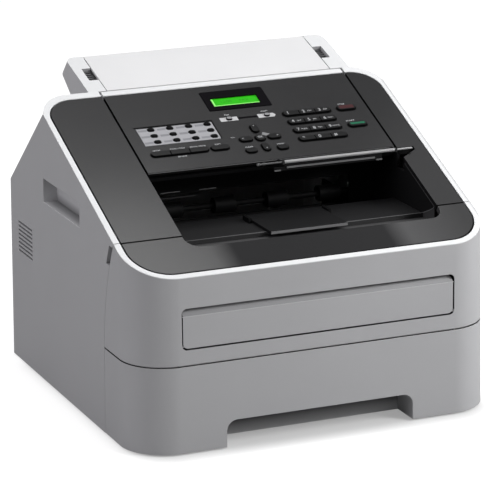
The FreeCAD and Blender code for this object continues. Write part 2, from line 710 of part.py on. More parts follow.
def front_cover():
    skin = common("cover_skin", shell, cover_zone("cover_skin_zone", gap))
    frame = d.pocket_wall
    deep = front + d.recess_depth
    pocket = box("recess_pocket", (-recess_half - frame, recess_half + frame), (front + 2, deep + frame),
                 (d.recess_bottom - frame, d.recess_top + frame))
    lugs = []
    for side in (-1, 1):
        near = d.cover_pin_place + 2.5
        x = (near, near + 3.6) if side > 0 else (-near - 3.6, -near)
        lugs.append(box("cover_lug", x, (front + 2, cover_axis[0] + 3.4),
                        (cover_axis[1] - 3.3, cover_axis[1] + 4.1)))
        pin = (d.cover_pin_place - 3.5, near + 1) if side > 0 else (-near - 1, 3.5 - d.cover_pin_place)
        lugs.append(rod("cover_pin", pin, *cover_axis, d.cover_pin_radius))
    body = fuse("cover_body", skin, pocket, *lugs)
    below = box("below_cover", wide, (front - 20, d.cover_seam_foot + 50), (-20, cover_low))
    mouth = oblong((-recess_half, recess_half), (d.recess_bottom, d.recess_top))
    recess = front_prism("cover_recess", mouth, (front - 5, deep), rounds=[(d.recess_corner, (0, 1, 2, 3))])
    slot_half = d.feed_slot_width / 2
    slot_low = d.recess_bottom + d.feed_slot_rise
    slot = box("feed_slot", (-slot_half, slot_half), (deep - 1, deep + frame + 1),
               (slot_low, slot_low + d.feed_slot_height))
    pin = rod("slot_pin_holes", (-recess_half - 2, recess_half + 2), *slot_axis,
              d.slot_pin_radius + d.running_fit)
    cover = cut("cover_cut", body, below, recess, slot, pin)
    node("front_cover", bevel("front_cover", cover, d.cover_bevel, front_edge_test(cover_low, True)))


front_cover()


def front_cover_lip():
    ahead = common("lip_slab", dark_top, cover_zone("lip_zone", d.lip_gap))
    opening = plan_prism("bay_opening", oblong((unit_left, unit_right), (d.bay_front, 0)),
                         (d.tray_top, top_height(0)), rounds=[(d.bay_corner_radius, (0, 1))])
    node("front_cover_lip", cut("front_cover_lip", ahead, opening))


front_cover_lip()


def feed_slot_cover():
    """A flap whose top leans back into the recess, with rounded corners and a pin at each end."""
    half = recess_half - d.slot_cover_gap
    low = slot_cover_low
    high = d.recess_top - d.slot_cover_gap
    y = (front + d.slot_cover_setback, front + d.slot_cover_setback + d.slot_cover_thickness)
    top = y[0] + d.slot_cover_lean
    profile = side_prism(
        "slot_profile",
        [(y[0], low), (y[0], d.slot_cover_bend), (top, high),
         (top + d.slot_cover_thickness * 0.8, high - 1.8), (y[1], d.slot_cover_bend - 1.3), (y[1], low)],
        (-half, half))
    face = front_prism("slot_face", oblong((-half, half), (low, high)), (front - 5, top + 10),
                       rounds=[(d.recess_corner, (0, 1, 2, 3))])
    pins = rod("slot_pins", (-half - 1.8, half + 1.8), *slot_axis, d.slot_pin_radius)
    node("feed_slot_cover", fuse("feed_slot_cover", common("slot_plate", profile, face), pins))


feed_slot_cover()


# Paper tray
def tray_front():
    ahead = box("tray_zone", wide, (front - 10, d.cover_seam_foot - gap), (-20, d.tray_top))
    skin = common("tray_skin", shell, ahead)
    half = d.tray_grip_width / 2
    frame = d.pocket_wall
    deep = front + d.tray_grip_depth
    high = d.tray_grip_height
    pocket = box("tray_pocket", (-half - frame, half + frame), (front + 1, deep + frame),
                 (d.floor_gap, high + frame))
    mouth = front_prism("tray_mouth", oblong((-half, half), (-5, high)), (front - 5, deep),
                        rounds=[(d.tray_grip_corner, (2, 3))])
    tray = cut("tray_cut", fuse("tray_front_body", skin, pocket), mouth)
    node("tray_front", bevel("tray_front", tray, d.tray_bevel, front_edge_test(d.tray_top, False)))


pan_front = front + d.tray_grip_depth + d.pocket_wall + 0.3
pan_half = d.pan_width / 2
pan_top = d.pan_bottom + d.pan_height
lift_reach = pan_half - 1
lift_low = d.pan_bottom + d.pan_wall + d.lift_plate_gap
lift_axis = (d.lift_plate_back - 2, lift_low + d.lift_plate_thickness / 2)


def paper_tray():
    block = box("pan_block", (-pan_half, pan_half), (pan_front, d.pan_back), (d.pan_bottom, pan_top))
    wall = d.pan_wall
    hollow = box("pan_hollow", (wall - pan_half, pan_half - wall), (pan_front + wall, d.pan_back - wall),
                 (d.pan_bottom + wall, pan_top + 5))
    low_front = box("pan_low_front", (wall - pan_half, pan_half - wall),
                    (pan_front - 1, pan_front + wall + 1), (d.pan_bottom + d.pan_height * 0.6, pan_top + 5))
    holes = rod("lift_holes", around(no_inset, lift_reach + 0.5), *lift_axis,
                d.lift_pin_radius + d.running_fit)
    node("paper_tray", cut("paper_tray", block, hollow, low_front, holes))


def lift_plate():
    half = d.lift_plate_width / 2
    high = lift_low + d.lift_plate_thickness
    plate = box("lift_plate_body", (-half, half), (d.lift_plate_front, d.lift_plate_back), (lift_low, high))
    window = box("lift_plate_window", around(no_inset, half * 0.4),
                 (d.lift_plate_front + 40, d.lift_plate_back - 40), (lift_low - 1, high + 1))
    pins = rod("lift_pins", (-lift_reach, lift_reach), *lift_axis, d.lift_pin_radius)
    node("lift_plate", fuse("lift_plate", cut("lift_plate_frame", plate, window), pins))


tray_front()
paper_tray()
lift_plate()


# Control panel: lettered keys stand in its holes, and it lifts about pins behind it
def key_outline(centre, size, grow):
    across = around(unit_middle + centre[0], size[0] / 2 + grow)
    return oblong(across, around(panel_low + centre[1], size[1] / 2 + grow))


# Keys by name: middle of the key from the unit's middle and up from the panel's lower edge, width and depth
DIAL_COLUMNS = (46.75, 63.75, 80.75)
DIAL_ROWS = (68.9, 54.8, 40.7, 26.6)
DIAL_NAMES = ("one", "two", "three", "four", "five", "six", "seven", "eight", "nine", "star", "zero", "hash")
DIAL_SIZE = (16.4, 7)
OVAL = (11, 7)
WIDE_KEY = (19, 7)
ARROW_ACROSS = (13, 7)
ARROW_ALONG = (7, 12)
ROUND_KEY = (9.6, 9.6)
SINGLE_KEYS = {
    "stop_key": ((106.4, 68.9), WIDE_KEY), "start_key": ((106.8, 40.7), WIDE_KEY),
    "ok_key": ((0.5, 35.4), ROUND_KEY), "up_key": ((0.5, 50.8), ARROW_ALONG),
    "down_key": ((0.5, 20), ARROW_ALONG), "left_key": ((-14.4, 35.4), ARROW_ACROSS),
    "right_key": ((15.4, 35.4), ARROW_ACROSS), "clear_key": ((-15.7, 17), OVAL),
    "back_key": ((17.2, 17), OVAL),
}
FUNCTION_KEYS = [((-106, 26.6), (19.2, 7)), ((-86.25, 26.6), (19.2, 7)), ((-66.5, 26.6), (19.2, 7)),
                 ((-44.8, 26.6), (18.2, 7)), ((-18.2, 70.9), (6, 4.4)), ((21.8, 70.9), (6, 4.4))]
TOUCH_COLUMNS = (-102, -82.4, -62.8, -43.4)
TOUCH_ROWS = (66, 56, 46)
TOUCH_SIZE = (7.2, 5.2)


def end_rounding(size):
    return min(size) * 0.48


def key(name, centre, size, ends=(True, True)):
    """One key; a rounded end is drawn in to nearly half the key's depth."""
    top = d.key_height
    full = end_rounding(size)
    rounds = []
    for end, points in zip(ends, ((0, 3), (1, 2))):
        rounds.append((full if end else d.key_corner / 3, points))
    if ends[0] == ends[1]:
        rounds = [(full if ends[0] else d.key_corner / 3, (0, 1, 2, 3))]
    return panel_prism(name, key_outline(centre, size, 0), (top - d.key_length, top), rounds)


def key_hole(name, centre, size):
    grow = d.key_clearance
    radius = grow + end_rounding(size)
    return panel_prism(name, key_outline(centre, size, grow), (-d.top_thickness - 2, 2),
                       [(radius, (0, 1, 2, 3))])


def bar(keys):
    """The middle and size of the hole that a row of neighbouring keys shares."""
    left = keys[0][0][0] - keys[0][1][0] / 2
    right = keys[-1][0][0] + keys[-1][1][0] / 2
    return ((left + right) / 2, keys[0][0][1]), (right - left, keys[0][1][1])


def make_keys():
    holes = []
    for r, row in enumerate(DIAL_ROWS):
        keys = [((column, row), DIAL_SIZE) for column in DIAL_COLUMNS]
        for c, (centre, size) in enumerate(keys):
            name = f"key_{DIAL_NAMES[3 * r + c]}"
            node(name, key(name, centre, size, ends=(c == 0, c == 2)))
        holes.append(key_hole(f"dial_hole{r}", *bar(keys)))
    for name, (centre, size) in SINGLE_KEYS.items():
        node(name, key(name, centre, size))
        holes.append(key_hole(name + "_hole", centre, size))
    functions = []
    for i, (centre, size) in enumerate(FUNCTION_KEYS):
        functions.append(key(f"function_key{i}", centre, size, ends=(i not in (1, 2), i not in (0, 1))))
    node("function_keys", fuse("function_keys", *functions))
    holes.append(key_hole("function_hole0", *bar(FUNCTION_KEYS[:3])))
    for i, (centre, size) in enumerate(FUNCTION_KEYS[3:], 1):
        holes.append(key_hole(f"function_hole{i}", centre, size))
    touch = []
    for column in TOUCH_COLUMNS:
        for row in TOUCH_ROWS:
            touch.append(key(f"touch_key{len(touch)}", (column, row), TOUCH_SIZE))
            holes.append(key_hole(f"touch_hole{len(touch)}", (column, row), TOUCH_SIZE))
    node("one_touch_keys", fuse("one_touch_keys", *touch))
    return holes


key_holes = make_keys()
lcd_left = unit_middle + d.lcd_left
lcd_u = (lcd_left, lcd_left + d.lcd_width)
lcd_low = panel_low + d.lcd_low
lcd_v = (lcd_low, lcd_low + d.lcd_depth)
screen_u = (lcd_u[0] + d.lcd_margin, lcd_u[1] - d.lcd_margin - 2.5)
screen_v = (lcd_v[0] + d.lcd_margin - 1, lcd_v[1] - d.lcd_margin - 4)
card_left = unit_middle + d.card_left
card_u = (card_left, card_left + d.card_width)
card_low = panel_low + d.card_low
card_v = (card_low, card_low + d.card_depth)


rod_left = unit_middle + d.rod_left
rod_right = unit_middle + d.rod_right
wing_left = unit_middle + d.wing_left
wing_right = unit_middle + d.wing_right


def control_panel():
    area = box("panel_area", (unit_left + d.unit_gap, unit_right - d.unit_gap), (d.panel_front, rear),
               (0, top_height(rear) + 20))
    slab = common("panel_slab", dark_top, area)
    lip_end = panel_low + d.panel_lip_depth
    undercut = side_prism(
        "panel_undercut",
        [on_top(panel_low - 20, -d.panel_lip), on_top(lip_end, -d.panel_lip),
         on_top(lip_end, -30), on_top(panel_low - 20, -30)], wide)
    inside = (unit_left + d.panel_box_inset, unit_right - d.panel_box_inset)
    box_end = panel_high - d.panel_box_inset
    tub = side_prism(
        "panel_tub",
        [on_top(lip_end + 1, -5), on_top(box_end, -5), on_top(box_end, -d.panel_box_depth),
         on_top(lip_end + 1, -d.panel_box_depth)], inside)
    room = side_prism(
        "panel_room",
        [on_top(lip_end + 3, -d.top_thickness + 0.2), on_top(box_end - 2, -d.top_thickness + 0.2),
         on_top(box_end - 2, 1.5 - d.panel_box_depth), on_top(lip_end + 3, 1.5 - d.panel_box_depth)],
        (inside[0] + 2, inside[1] - 2))
    lugs = []
    lug_end = d.panel_front + 2
    eye = d.wing_radius + 0.9
    for x in (rod_left - 0.5 - d.rod_lug_width, rod_right + 0.5):
        lugs.append(side_prism(
            "rod_lug",
            [(d.rod_place - eye, d.rod_height - eye), (lug_end, d.rod_height - eye), (lug_end, d.rod_height),
             (d.rod_place - eye, d.rod_height + eye)],
            (x, x + d.rod_lug_width)))
    rod_hole = rod("rod_hole", (wing_left, wing_right), d.rod_place, d.rod_height,
                   d.wing_radius + d.running_fit)
    lcd_seat = panel_prism("lcd_seat", grown(lcd_u, lcd_v, d.seat_gap), (-4.2, 5))
    card_seat = panel_prism("card_seat", grown(card_u, card_v, d.seat_gap), (-0.5, 5))
    body = fuse("panel_body", cut("panel_plate", slab, undercut), cut("panel_back", tub, room), *lugs)
    node("control_panel", cut("control_panel", body, rod_hole, lcd_seat, card_seat, *key_holes))


control_panel()


def panel_trim():
    """The white strip behind the panel, thick enough to hold its hinge pins."""
    edge = side_prism(
        "strip_profile",
        [(d.dark_back - 20, 0), (d.dark_back - 20, top_height(d.dark_back - 20) + 5),
         (d.tower_back - d.strip_bevel, top_height(d.tower_back - d.strip_bevel)),
         (d.tower_back, top_height(d.tower_back) - d.strip_bevel), (d.tower_back, 0)],
        (unit_left + d.unit_gap, unit_right - d.unit_gap))
    strip = common("strip", cut("strip_slab", top_slab, dark_hole), edge)
    pins = rod("panel_pins", (unit_left - d.panel_pin_length, unit_right + d.panel_pin_length), *panel_axis,
               d.panel_pin_radius)
    node("panel_trim", fuse("panel_trim", strip, pins))


panel_trim()


def display():
    frame = panel_prism("lcd_frame", oblong(lcd_u, lcd_v), (-4, 0.8), rounds=[(1.5, (0, 1, 2, 3))])
    window = panel_prism("lcd_window", oblong(screen_u, screen_v), (-0.6, 5))
    margin = 1
    room = panel_prism("lcd_room", grown(screen_u, screen_v, margin), (-5, -0.5))
    node("lcd_bezel", cut("lcd_bezel", frame, window, room))
    screen = panel_prism("lcd_screen", grown(screen_u, screen_v, margin - d.seat_gap), (-4, -0.6))
    node("lcd_screen", screen)


display()


def label_card():
    card = panel_prism("card_plate", oblong(card_u, card_v), (-0.4, d.card_thickness - 0.4))
    holes = [hole for hole in key_holes if hole.Name.startswith("touch_hole")]
    node("label_card", cut("label_card", card, *holes))


label_card()


def document_flap():
    """A bar on two thin ends, with a plate that hangs from it and ends in a narrow lower lip."""
    axis = (d.rod_place, d.rod_height)
    bar_rod = rod("flap_rod", (rod_left, rod_right), *axis, d.rod_radius)
    wings = rod("flap_wings", (wing_left, wing_right), *axis, d.wing_radius)
    collars = [rod("flap_collar", around(wing_left + middle, 1.3), *axis, d.wing_radius + 0.4)
               for middle in (1.7, 7.5)]
    low = d.rod_height - d.flap_drop
    bar_low = d.rod_height - d.flap_bar_drop
    face = d.rod_place - d.flap_thickness / 2
    y = (face, face + d.flap_thickness)
    reach = (face - d.flap_bar_reach, face + 0.2)
    foot = d.flap_bar_left - d.flap_left
    left = unit_middle + d.flap_left
    right = unit_middle + d.flap_right
    plate = box("flap_plate", (rod_left, right), y, (low, d.rod_height))
    strip = box("flap_strip", (left, right), y, (low, bar_low + 1.2))
    lips = [box("flap_lip", (unit_middle + d.flap_bar_left, unit_middle + d.flap_bar_right), reach,
                (bar_low, bar_low + d.flap_bar_height)),
            box("flap_foot_left", (left, left + foot / 2), reach, (low, low + 1.2)),
            box("flap_foot_right", (right - foot / 2, right), reach, (low, low + 1.2))]
    node("document_flap", fuse("document_flap", bar_rod, wings, *collars, plate, strip, *lips))


document_flap()


# Document path under the panel
scan_half = d.engine_width / 2
scan_glass_v = (panel_low + d.scan_glass_low, panel_low + d.scan_glass_low + d.scan_glass_depth)
feeder_sleeves = [unit_middle + d.unit_width * share for share in (-0.26, 0.008, 0.275)]
exit_sleeves = [unit_middle + d.paper_slot_width * share for share in (-0.4, -0.133, 0.133, 0.4)]


def slope_block(v, w):
    return [on_top(v[0], w[0]), on_top(v[1], w[0]), on_top(v[1], w[1]), on_top(v[0], w[1])]


def document_chute():
    depth = -d.chute_depth
    lip = -d.chute_lip_depth
    thick = d.chute_thickness
    start = panel_low
    ramp = start + 8
    flat = ramp + 10
    end = chute_end
    x = (unit_left + 0.3, unit_right - 0.3)
    plate = side_prism(
        "chute_plate",
        [on_top(start, lip), on_top(ramp, lip), on_top(flat, depth), on_top(end, depth),
         on_top(end, depth - thick), on_top(flat - 1.5, depth - thick), on_top(ramp - 1.5, lip - thick),
         on_top(start, lip - thick)], x)
    window_v = around(feeder_roller_v, d.feeder_roller_radius + 2)
    windows = []
    for middle in feeder_sleeves:
        windows.append(side_prism("roller_window", slope_block(window_v, (depth - 5, depth + 5)),
                                  around(middle, d.feeder_sleeve / 2 + 2)))
    glass_v = (scan_glass_v[0] - 0.5, scan_glass_v[1] + 0.5)
    glass = side_prism("glass_window", slope_block(glass_v, (depth - 5, depth + 5)),
                       around(unit_middle, scan_half - 4))
    node("document_chute", cut("document_chute", plate, glass, *windows))


def scan_unit():
    high = -d.chute_depth - d.chute_thickness - 0.2
    low = high - d.scan_height
    v = (panel_low + d.scan_low, panel_low + d.scan_low + d.scan_depth)
    body = side_prism("scan_body", slope_block(v, (low, high)), around(unit_middle, scan_half))
    glass = side_prism("scan_glass", slope_block(scan_glass_v, (high - 1, high + d.chute_thickness - 0.2)),
                       around(unit_middle, scan_half - 5))
    node("scan_unit", fuse("scan_unit", body, glass))


def roller(name, y, z, radius, ends, middles, width):
    shaft = rod(name + "_shaft", ends, y, z, d.roller_shaft_radius)
    sleeves = [rod(f"{name}_sleeve{i}", (middle - width / 2, middle + width / 2), y, z, radius)
               for i, middle in enumerate(middles)]
    node(name, fuse(name, shaft, *sleeves))


def rollers():
    ends = (unit_left - d.wall + 0.5, unit_right + d.wall - 0.5)
    roller("adf_roller", *feeder_roller_axis, d.feeder_roller_radius, ends, feeder_sleeves, d.feeder_sleeve)
    roller("exit_roller", d.exit_roller_place, d.exit_roller_height, d.exit_roller_radius, ends,
           exit_sleeves, d.exit_sleeve)
    reach = frame_wall_place + d.frame_wall - 0.5
    roller("pickup_roller", d.pickup_place, d.pickup_height, d.pickup_radius, (-reach, reach), [no_inset],
           d.pickup_width)


document_chute()
scan_unit()
rollers()


# Document feeder with its folding support and sliding paper guides
feeder_ends = around(unit_middle, d.feeder_width / 2)
support_left, support_right = around(unit_middle + d.support_offset, d.support_width / 2)
support_axis = on_feeder(d.feeder_depth - 3, -d.support_thickness / 2)
guide_v = (d.guide_slot_low, d.guide_slot_low + d.guide_slot_length)
guide_left = support_left - d.guide_slot_width
guide_right = support_right + d.guide_slot_width


def feeder_block(name, x, v, w):
    return side_prism(name, [on_feeder(v[0], w[0]), on_feeder(v[1], w[0]), on_feeder(v[1], w[1]),
                             on_feeder(v[0], w[1])], x)


def adf_housing():
    foot = [(y, chamfer_height(y) + 0.3) for y in (d.feeder_foot, d.feeder_front)]
    outline = foot + [on_feeder(0, 0), on_feeder(d.feeder_depth, 0), (d.feeder_back, d.feeder_back_height),
                      (d.feeder_foot, d.feeder_foot_height)]
    block = side_prism("feeder_block", outline, feeder_ends)
    ridge = on_feeder(d.feeder_depth, 0)
    fillet(block, "feeder_corners", d.feeder_corner,
           lambda edge: abs(edge.Vertexes[0].Z - edge.Vertexes[-1].Z) < 1e-4
           and min(v.Y for v in edge.Vertexes) > d.feeder_back_height.value - 1e-3
           and max(v.X for v in edge.Vertexes) > ridge[0].value + 1)
    deep = -d.feeder_recess
    middle = (support_left, support_right)
    recess = feeder_block("feeder_recess_space", middle, (-10, d.feeder_depth - 9), (deep, 8))
    ledge = feeder_block("feeder_ledge", middle, (d.feeder_depth - 10, d.feeder_depth + 10), (-5.5, 8))
    slots = [feeder_block("guide_slot_left", (guide_left, support_left + 1), guide_v, (deep, 8)),
             feeder_block("guide_slot_right", (support_right - 1, guide_right), guide_v, (deep, 8))]
    holes = rod("support_pin_holes", (support_left - 3.5, support_right + 3.5), *support_axis,
                d.support_pin_radius + d.running_fit)
    node("adf_housing", cut("adf_housing", block, recess, ledge, *slots, holes))


def document_support():
    plate = feeder_block("support_plate", (support_left + d.support_gap, support_right - d.support_gap),
                         (0.5, d.feeder_depth - 0.5), (-d.support_thickness, 0))
    pins = rod("support_pins", (support_left - 3, support_right + 3), *support_axis, d.support_pin_radius)
    node("document_support", fuse("document_support", plate, pins))


def document_guide(name, x):
    low = 0.3 - d.feeder_recess
    high = -d.support_thickness - 0.8
    v = (guide_v[0] + 1, guide_v[1] - 1)
    block = feeder_block(name + "_block", x, v, (low, high))
    grooves = [feeder_block(f"{name}_groove{i}", (x[0] - 1, x[1] + 1), (v[0] + 2 + 4 * i, v[0] + 4 + 4 * i),
                            (high - 1.5, high + 1)) for i in range(5)]
    node(name, cut(name, block, *grooves))


adf_housing()
document_support()
document_guide("document_guide_left", (guide_left + d.guide_gap, support_left - d.guide_gap))
document_guide("document_guide_right", (support_right + d.guide_gap, guide_right - d.guide_gap))


def output_flap():
    high = stop_low + d.stop_thickness
    rounded = d.stop_back - d.stop_pin_inset / 2
    plate = box("stop_plate", (stop_left, stop_right), (d.stop_front, rounded), (stop_low, high))
    pins = rod("stop_pins", (stop_left - 3, stop_right + 3), *stop_axis, d.stop_pin_radius)
    node("output_flap", fuse("output_flap", plate, pins))


output_flap()


# Frame and print engine
deck_low = d.tray_top + 2
deck_high = deck_low + d.deck_thickness


def base_frame():
    floor = d.floor_gap
    inset = 12
    bottom = box("frame_bottom", (inset - half_width, half_width - inset),
                 (d.cover_seam_foot + 1, rear - inset), (floor, floor + d.frame_wall))
    near = frame_wall_place
    far = near + d.frame_wall
    y = (d.frame_front, d.frame_back)
    walls = [box("frame_wall_left", (-far, -near), y, (floor, d.frame_height)),
             box("frame_wall_right", (near, far), y, (floor, d.frame_height))]
    deck = box("frame_deck", (-near - 1, near + 1), (d.deck_front, d.frame_back), (deck_low, deck_high))
    arms = []
    for side in (-1, 1):
        x = around(d.cover_pin_place * side, 2)
        arms.append(box("hinge_arm", x, (cover_axis[0], d.deck_front + 0.5),
                        (deck_low, cover_axis[1] + 2.4)))
        arms.append(rod("hinge_eye", x, *cover_axis, d.hinge_eye_radius))
    body = fuse("frame_body", bottom, *walls, deck, *arms)
    reach = (-d.cover_pin_place - 10, d.cover_pin_place + 10)
    hinge_hole = rod("hinge_holes", reach, *cover_axis, d.cover_pin_radius + d.running_fit)
    shaft_hole = rod("pickup_holes", (-far - 1, far + 1), d.pickup_place, d.pickup_height,
                     d.roller_shaft_radius + d.running_fit)
    node("base_frame", cut("base_frame", body, hinge_hole, shaft_hole))


def feet():
    pads = []
    for x in (d.foot_inset - half_width, half_width - d.foot_inset):
        for y in (d.cover_seam_foot + d.foot_inset / 2, rear - d.foot_inset):
            pads.append(post("foot", x, y, (0, d.floor_gap), d.foot_radius))
    node("feet", fuse("feet", *pads))


engine = around(unit_middle, d.engine_width / 2)


def drum_unit():
    low = deck_high + 0.3
    tray = box("drum_tray", engine, (d.deck_front + 1, d.bay_rear), (low, low + 3))
    body = box("drum_body", engine, (d.bay_floor_knee - 15, d.bay_rear), (low, low + d.drum_height))
    drum = rod("drum_cylinder", (engine[0] - 4, engine[1] + 4), d.bay_floor_knee + 4,
               low + d.drum_height / 2, 12)
    node("drum_unit", fuse("drum_unit", tray, body, drum))


def toner_cartridge():
    low = deck_high + 3.6
    y = (d.deck_front + 2, d.bay_floor_knee - 15.3)
    body = side_prism("toner_body", oblong(y, (low, low + d.toner_height)), (engine[0] + 4, engine[1] - 4),
                      rounds=[(12, (0, 3))])
    handle = box("toner_handle", around(unit_middle, 30), (y[0] - 16, y[0] + 14),
                 around(low + d.toner_height / 2, 2.5))
    node("toner_cartridge", fuse("toner_cartridge", body, handle))


def fuser_unit():
    low = deck_high + 0.3
    y = (d.bay_rear + 44, d.bay_rear + 44 + d.fuser_depth)
    body = side_prism("fuser_body", oblong(y, (low, low + d.fuser_height)), engine, rounds=[(8, (2, 3))])
    heat = rod("fuser_roller", (engine[0] - 6, engine[1] + 6), y[0] + d.fuser_depth / 3,
               low + d.fuser_height / 2, 10)
    node("fuser_unit", fuse("fuser_unit", body, heat))


# Chips on the board: place along and up it, length, height and thickness
BOARD_CHIPS = ((50, 46, 30, 30, 3), (110, 26, 30, 16, 2.5), (166, 12, 28, 24, 12))


def main_board():
    face = frame_wall_place + d.frame_wall
    y = (d.cover_seam_foot + 25, d.frame_back - 20)
    z = (24, d.frame_height - 10)
    plate = box("board_plate", (face + 5, face + 6.6), y, z)
    spacers = [rod(f"board_spacer{i}{j}", (face, face + 5.5), py, pz, 2.5)
               for i, py in enumerate((y[0] + 8, y[1] - 8)) for j, pz in enumerate((z[0] + 8, z[1] - 8))]
    chips = []
    for start, low, length, tall, height in BOARD_CHIPS:
        chips.append(box("board_chip", (face + 6, face + 6 + height), (y[0] + start, y[0] + start + length),
                         (z[0] + low, z[0] + low + tall)))
    node("main_board", fuse("main_board", plate, *spacers, *chips))


base_frame()
feet()
drum_unit()
toner_cartridge()
fuser_unit()
main_board()


# Check every object, then write each piece to its own file
doc.recompute()
failed = [item.Label for item in doc.Objects if "Invalid" in item.State or "Error" in item.State]
if failed:
    raise RuntimeError(f"objects that did not build: {failed}")
names = [item.Label for item in NODES]
if len(set(names)) != len(names):
    raise RuntimeError("two pieces share a name")
for item in NODES:
    if item.Shape.isNull() or not item.Shape.isValid() or not item.Shape.Solids:
        raise RuntimeError(f"{item.Label} has no valid solid")
os.makedirs("parts", exist_ok=True)
for item in NODES:
    item.Shape.exportStep(f"parts/{item.Label}.step")
print(f"{len(NODES)} pieces written")
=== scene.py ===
import json
import math

import bmesh
import bpy
from mathutils import Matrix, Vector


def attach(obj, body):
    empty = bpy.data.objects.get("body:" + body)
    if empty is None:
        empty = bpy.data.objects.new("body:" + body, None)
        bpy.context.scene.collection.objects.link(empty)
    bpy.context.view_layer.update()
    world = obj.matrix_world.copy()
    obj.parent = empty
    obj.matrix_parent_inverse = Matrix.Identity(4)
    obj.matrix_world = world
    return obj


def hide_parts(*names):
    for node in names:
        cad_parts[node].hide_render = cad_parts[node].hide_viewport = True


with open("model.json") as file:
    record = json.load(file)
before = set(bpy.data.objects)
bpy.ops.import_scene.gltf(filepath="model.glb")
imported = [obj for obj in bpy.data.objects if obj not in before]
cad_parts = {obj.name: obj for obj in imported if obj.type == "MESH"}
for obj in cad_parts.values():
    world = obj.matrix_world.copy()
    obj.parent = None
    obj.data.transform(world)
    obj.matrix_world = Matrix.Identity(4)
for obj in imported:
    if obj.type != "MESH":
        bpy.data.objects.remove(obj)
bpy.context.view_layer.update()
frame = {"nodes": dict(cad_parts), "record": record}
nodes = frame["nodes"]
body_of = {}
for body_name, members in frame["record"]["behaviour"]["bodies"].items():
    for member in members:
        body_of[member] = body_name

# Sizes of the sloping top, the same as in the part
SLOPE = math.radians(22.8)
TOP_FRONT = (-180.0, 168.4)
FEEDER_SLOPE = math.radians(17.1)

# Places on the casing, in millimetres
TRAY_TOP = 84.4
SEAM_MIDDLE = -324
SEAM_RADIUS = 227
TRAY_END = -97
SIDE_FACE = 181
GRIP_REAR = 71
GRIP_FRONT = -34
BAY_WALL = 146.8
WALL_RIB_HEIGHT = 0.35


def on_top(u, v, w):
    """A point on the panel: across, up the slope and above it, in millimetres; gives metres."""
    y = TOP_FRONT[0] + v * math.cos(SLOPE) - w * math.sin(SLOPE)
    z = TOP_FRONT[1] + v * math.sin(SLOPE) + w * math.cos(SLOPE)
    return Vector((u, y, z)) / 1000


def depth_under_top(point):
    """How far a point is below the sloping top, in millimetres."""
    y, z = point.y * 1000, point.z * 1000
    return -(-(y - TOP_FRONT[0]) * math.sin(SLOPE) + (z - TOP_FRONT[1]) * math.cos(SLOPE))


# Materials
def shade(value):
    value = value / 255
    return value / 12.92 if value <= 0.04045 else ((value + 0.055) / 1.055) ** 2.4


def colour(red, green, blue):
    return (shade(red), shade(green), shade(blue), 1)


def plastic(name, rgb, rough=0.45, grain=0.0, grain_size=0.5, vary=0.04, specular=0.5):
    """Moulded plastic: a fine spark-eroded grain, with slight changes of colour and gloss."""
    material = bpy.data.materials.new(name)
    material.use_nodes = True
    tree = material.node_tree
    shader = tree.nodes["Principled BSDF"]
    shader.inputs["Specular IOR Level"].default_value = specular
    place = tree.nodes.new("ShaderNodeTexCoord")
    broad = tree.nodes.new("ShaderNodeTexNoise")
    broad.inputs["Scale"].default_value = 14
    broad.inputs["Detail"].default_value = 3
    tree.links.new(place.outputs["Object"], broad.inputs["Vector"])
    tint = tree.nodes.new("ShaderNodeMix")
    tint.data_type = "RGBA"
    base = colour(*rgb)
    tint.inputs[6].default_value = tuple(c * (1 - vary) for c in base[:3]) + (1,)
    tint.inputs[7].default_value = tuple(min(c * (1 + vary), 1) for c in base[:3]) + (1,)
    tree.links.new(broad.outputs["Fac"], tint.inputs[0])
    tree.links.new(tint.outputs[2], shader.inputs["Base Color"])
    gloss = tree.nodes.new("ShaderNodeMapRange")
    gloss.inputs["To Min"].default_value = rough * 0.92
    gloss.inputs["To Max"].default_value = min(rough * 1.08, 1)
    tree.links.new(broad.outputs["Fac"], gloss.inputs["Value"])
    tree.links.new(gloss.outputs["Result"], shader.inputs["Roughness"])
    if grain:
        fine = tree.nodes.new("ShaderNodeTexNoise")
        fine.inputs["Scale"].default_value = 1000 / grain_size
        fine.inputs["Detail"].default_value = 2
        tree.links.new(place.outputs["Object"], fine.inputs["Vector"])
        bump = tree.nodes.new("ShaderNodeBump")
        bump.inputs["Strength"].default_value = grain
        bump.inputs["Distance"].default_value = 0.00005
        tree.links.new(fine.outputs["Fac"], bump.inputs["Height"])
        tree.links.new(bump.outputs["Normal"], shader.inputs["Normal"])
    return material


def glowing(name, rgb, strength):
    """A display given a painted glow: a plain film with a little emission of its own."""
    material = plastic(name, rgb, 0.4, vary=0.05, specular=0.1)
    shader = material.node_tree.nodes["Principled BSDF"]
    shader.inputs["Emission Color"].default_value = colour(*rgb)
    shader.inputs["Emission Strength"].default_value = strength
    return material


def multiply_colour(material, share):
    """Multiplies a material's colour by the share that another node gives."""
    tree = material.node_tree
    shader = tree.nodes["Principled BSDF"]
    scaled = tree.nodes.new("ShaderNodeMix")
    scaled.data_type = "RGBA"
    scaled.blend_type = "MULTIPLY"
    scaled.inputs[0].default_value = 1
    tree.links.new(shader.inputs["Base Color"].links[0].from_socket, scaled.inputs[6])
    tree.links.new(share, scaled.inputs[7])
    tree.links.new(scaled.outputs[2], shader.inputs["Base Color"])


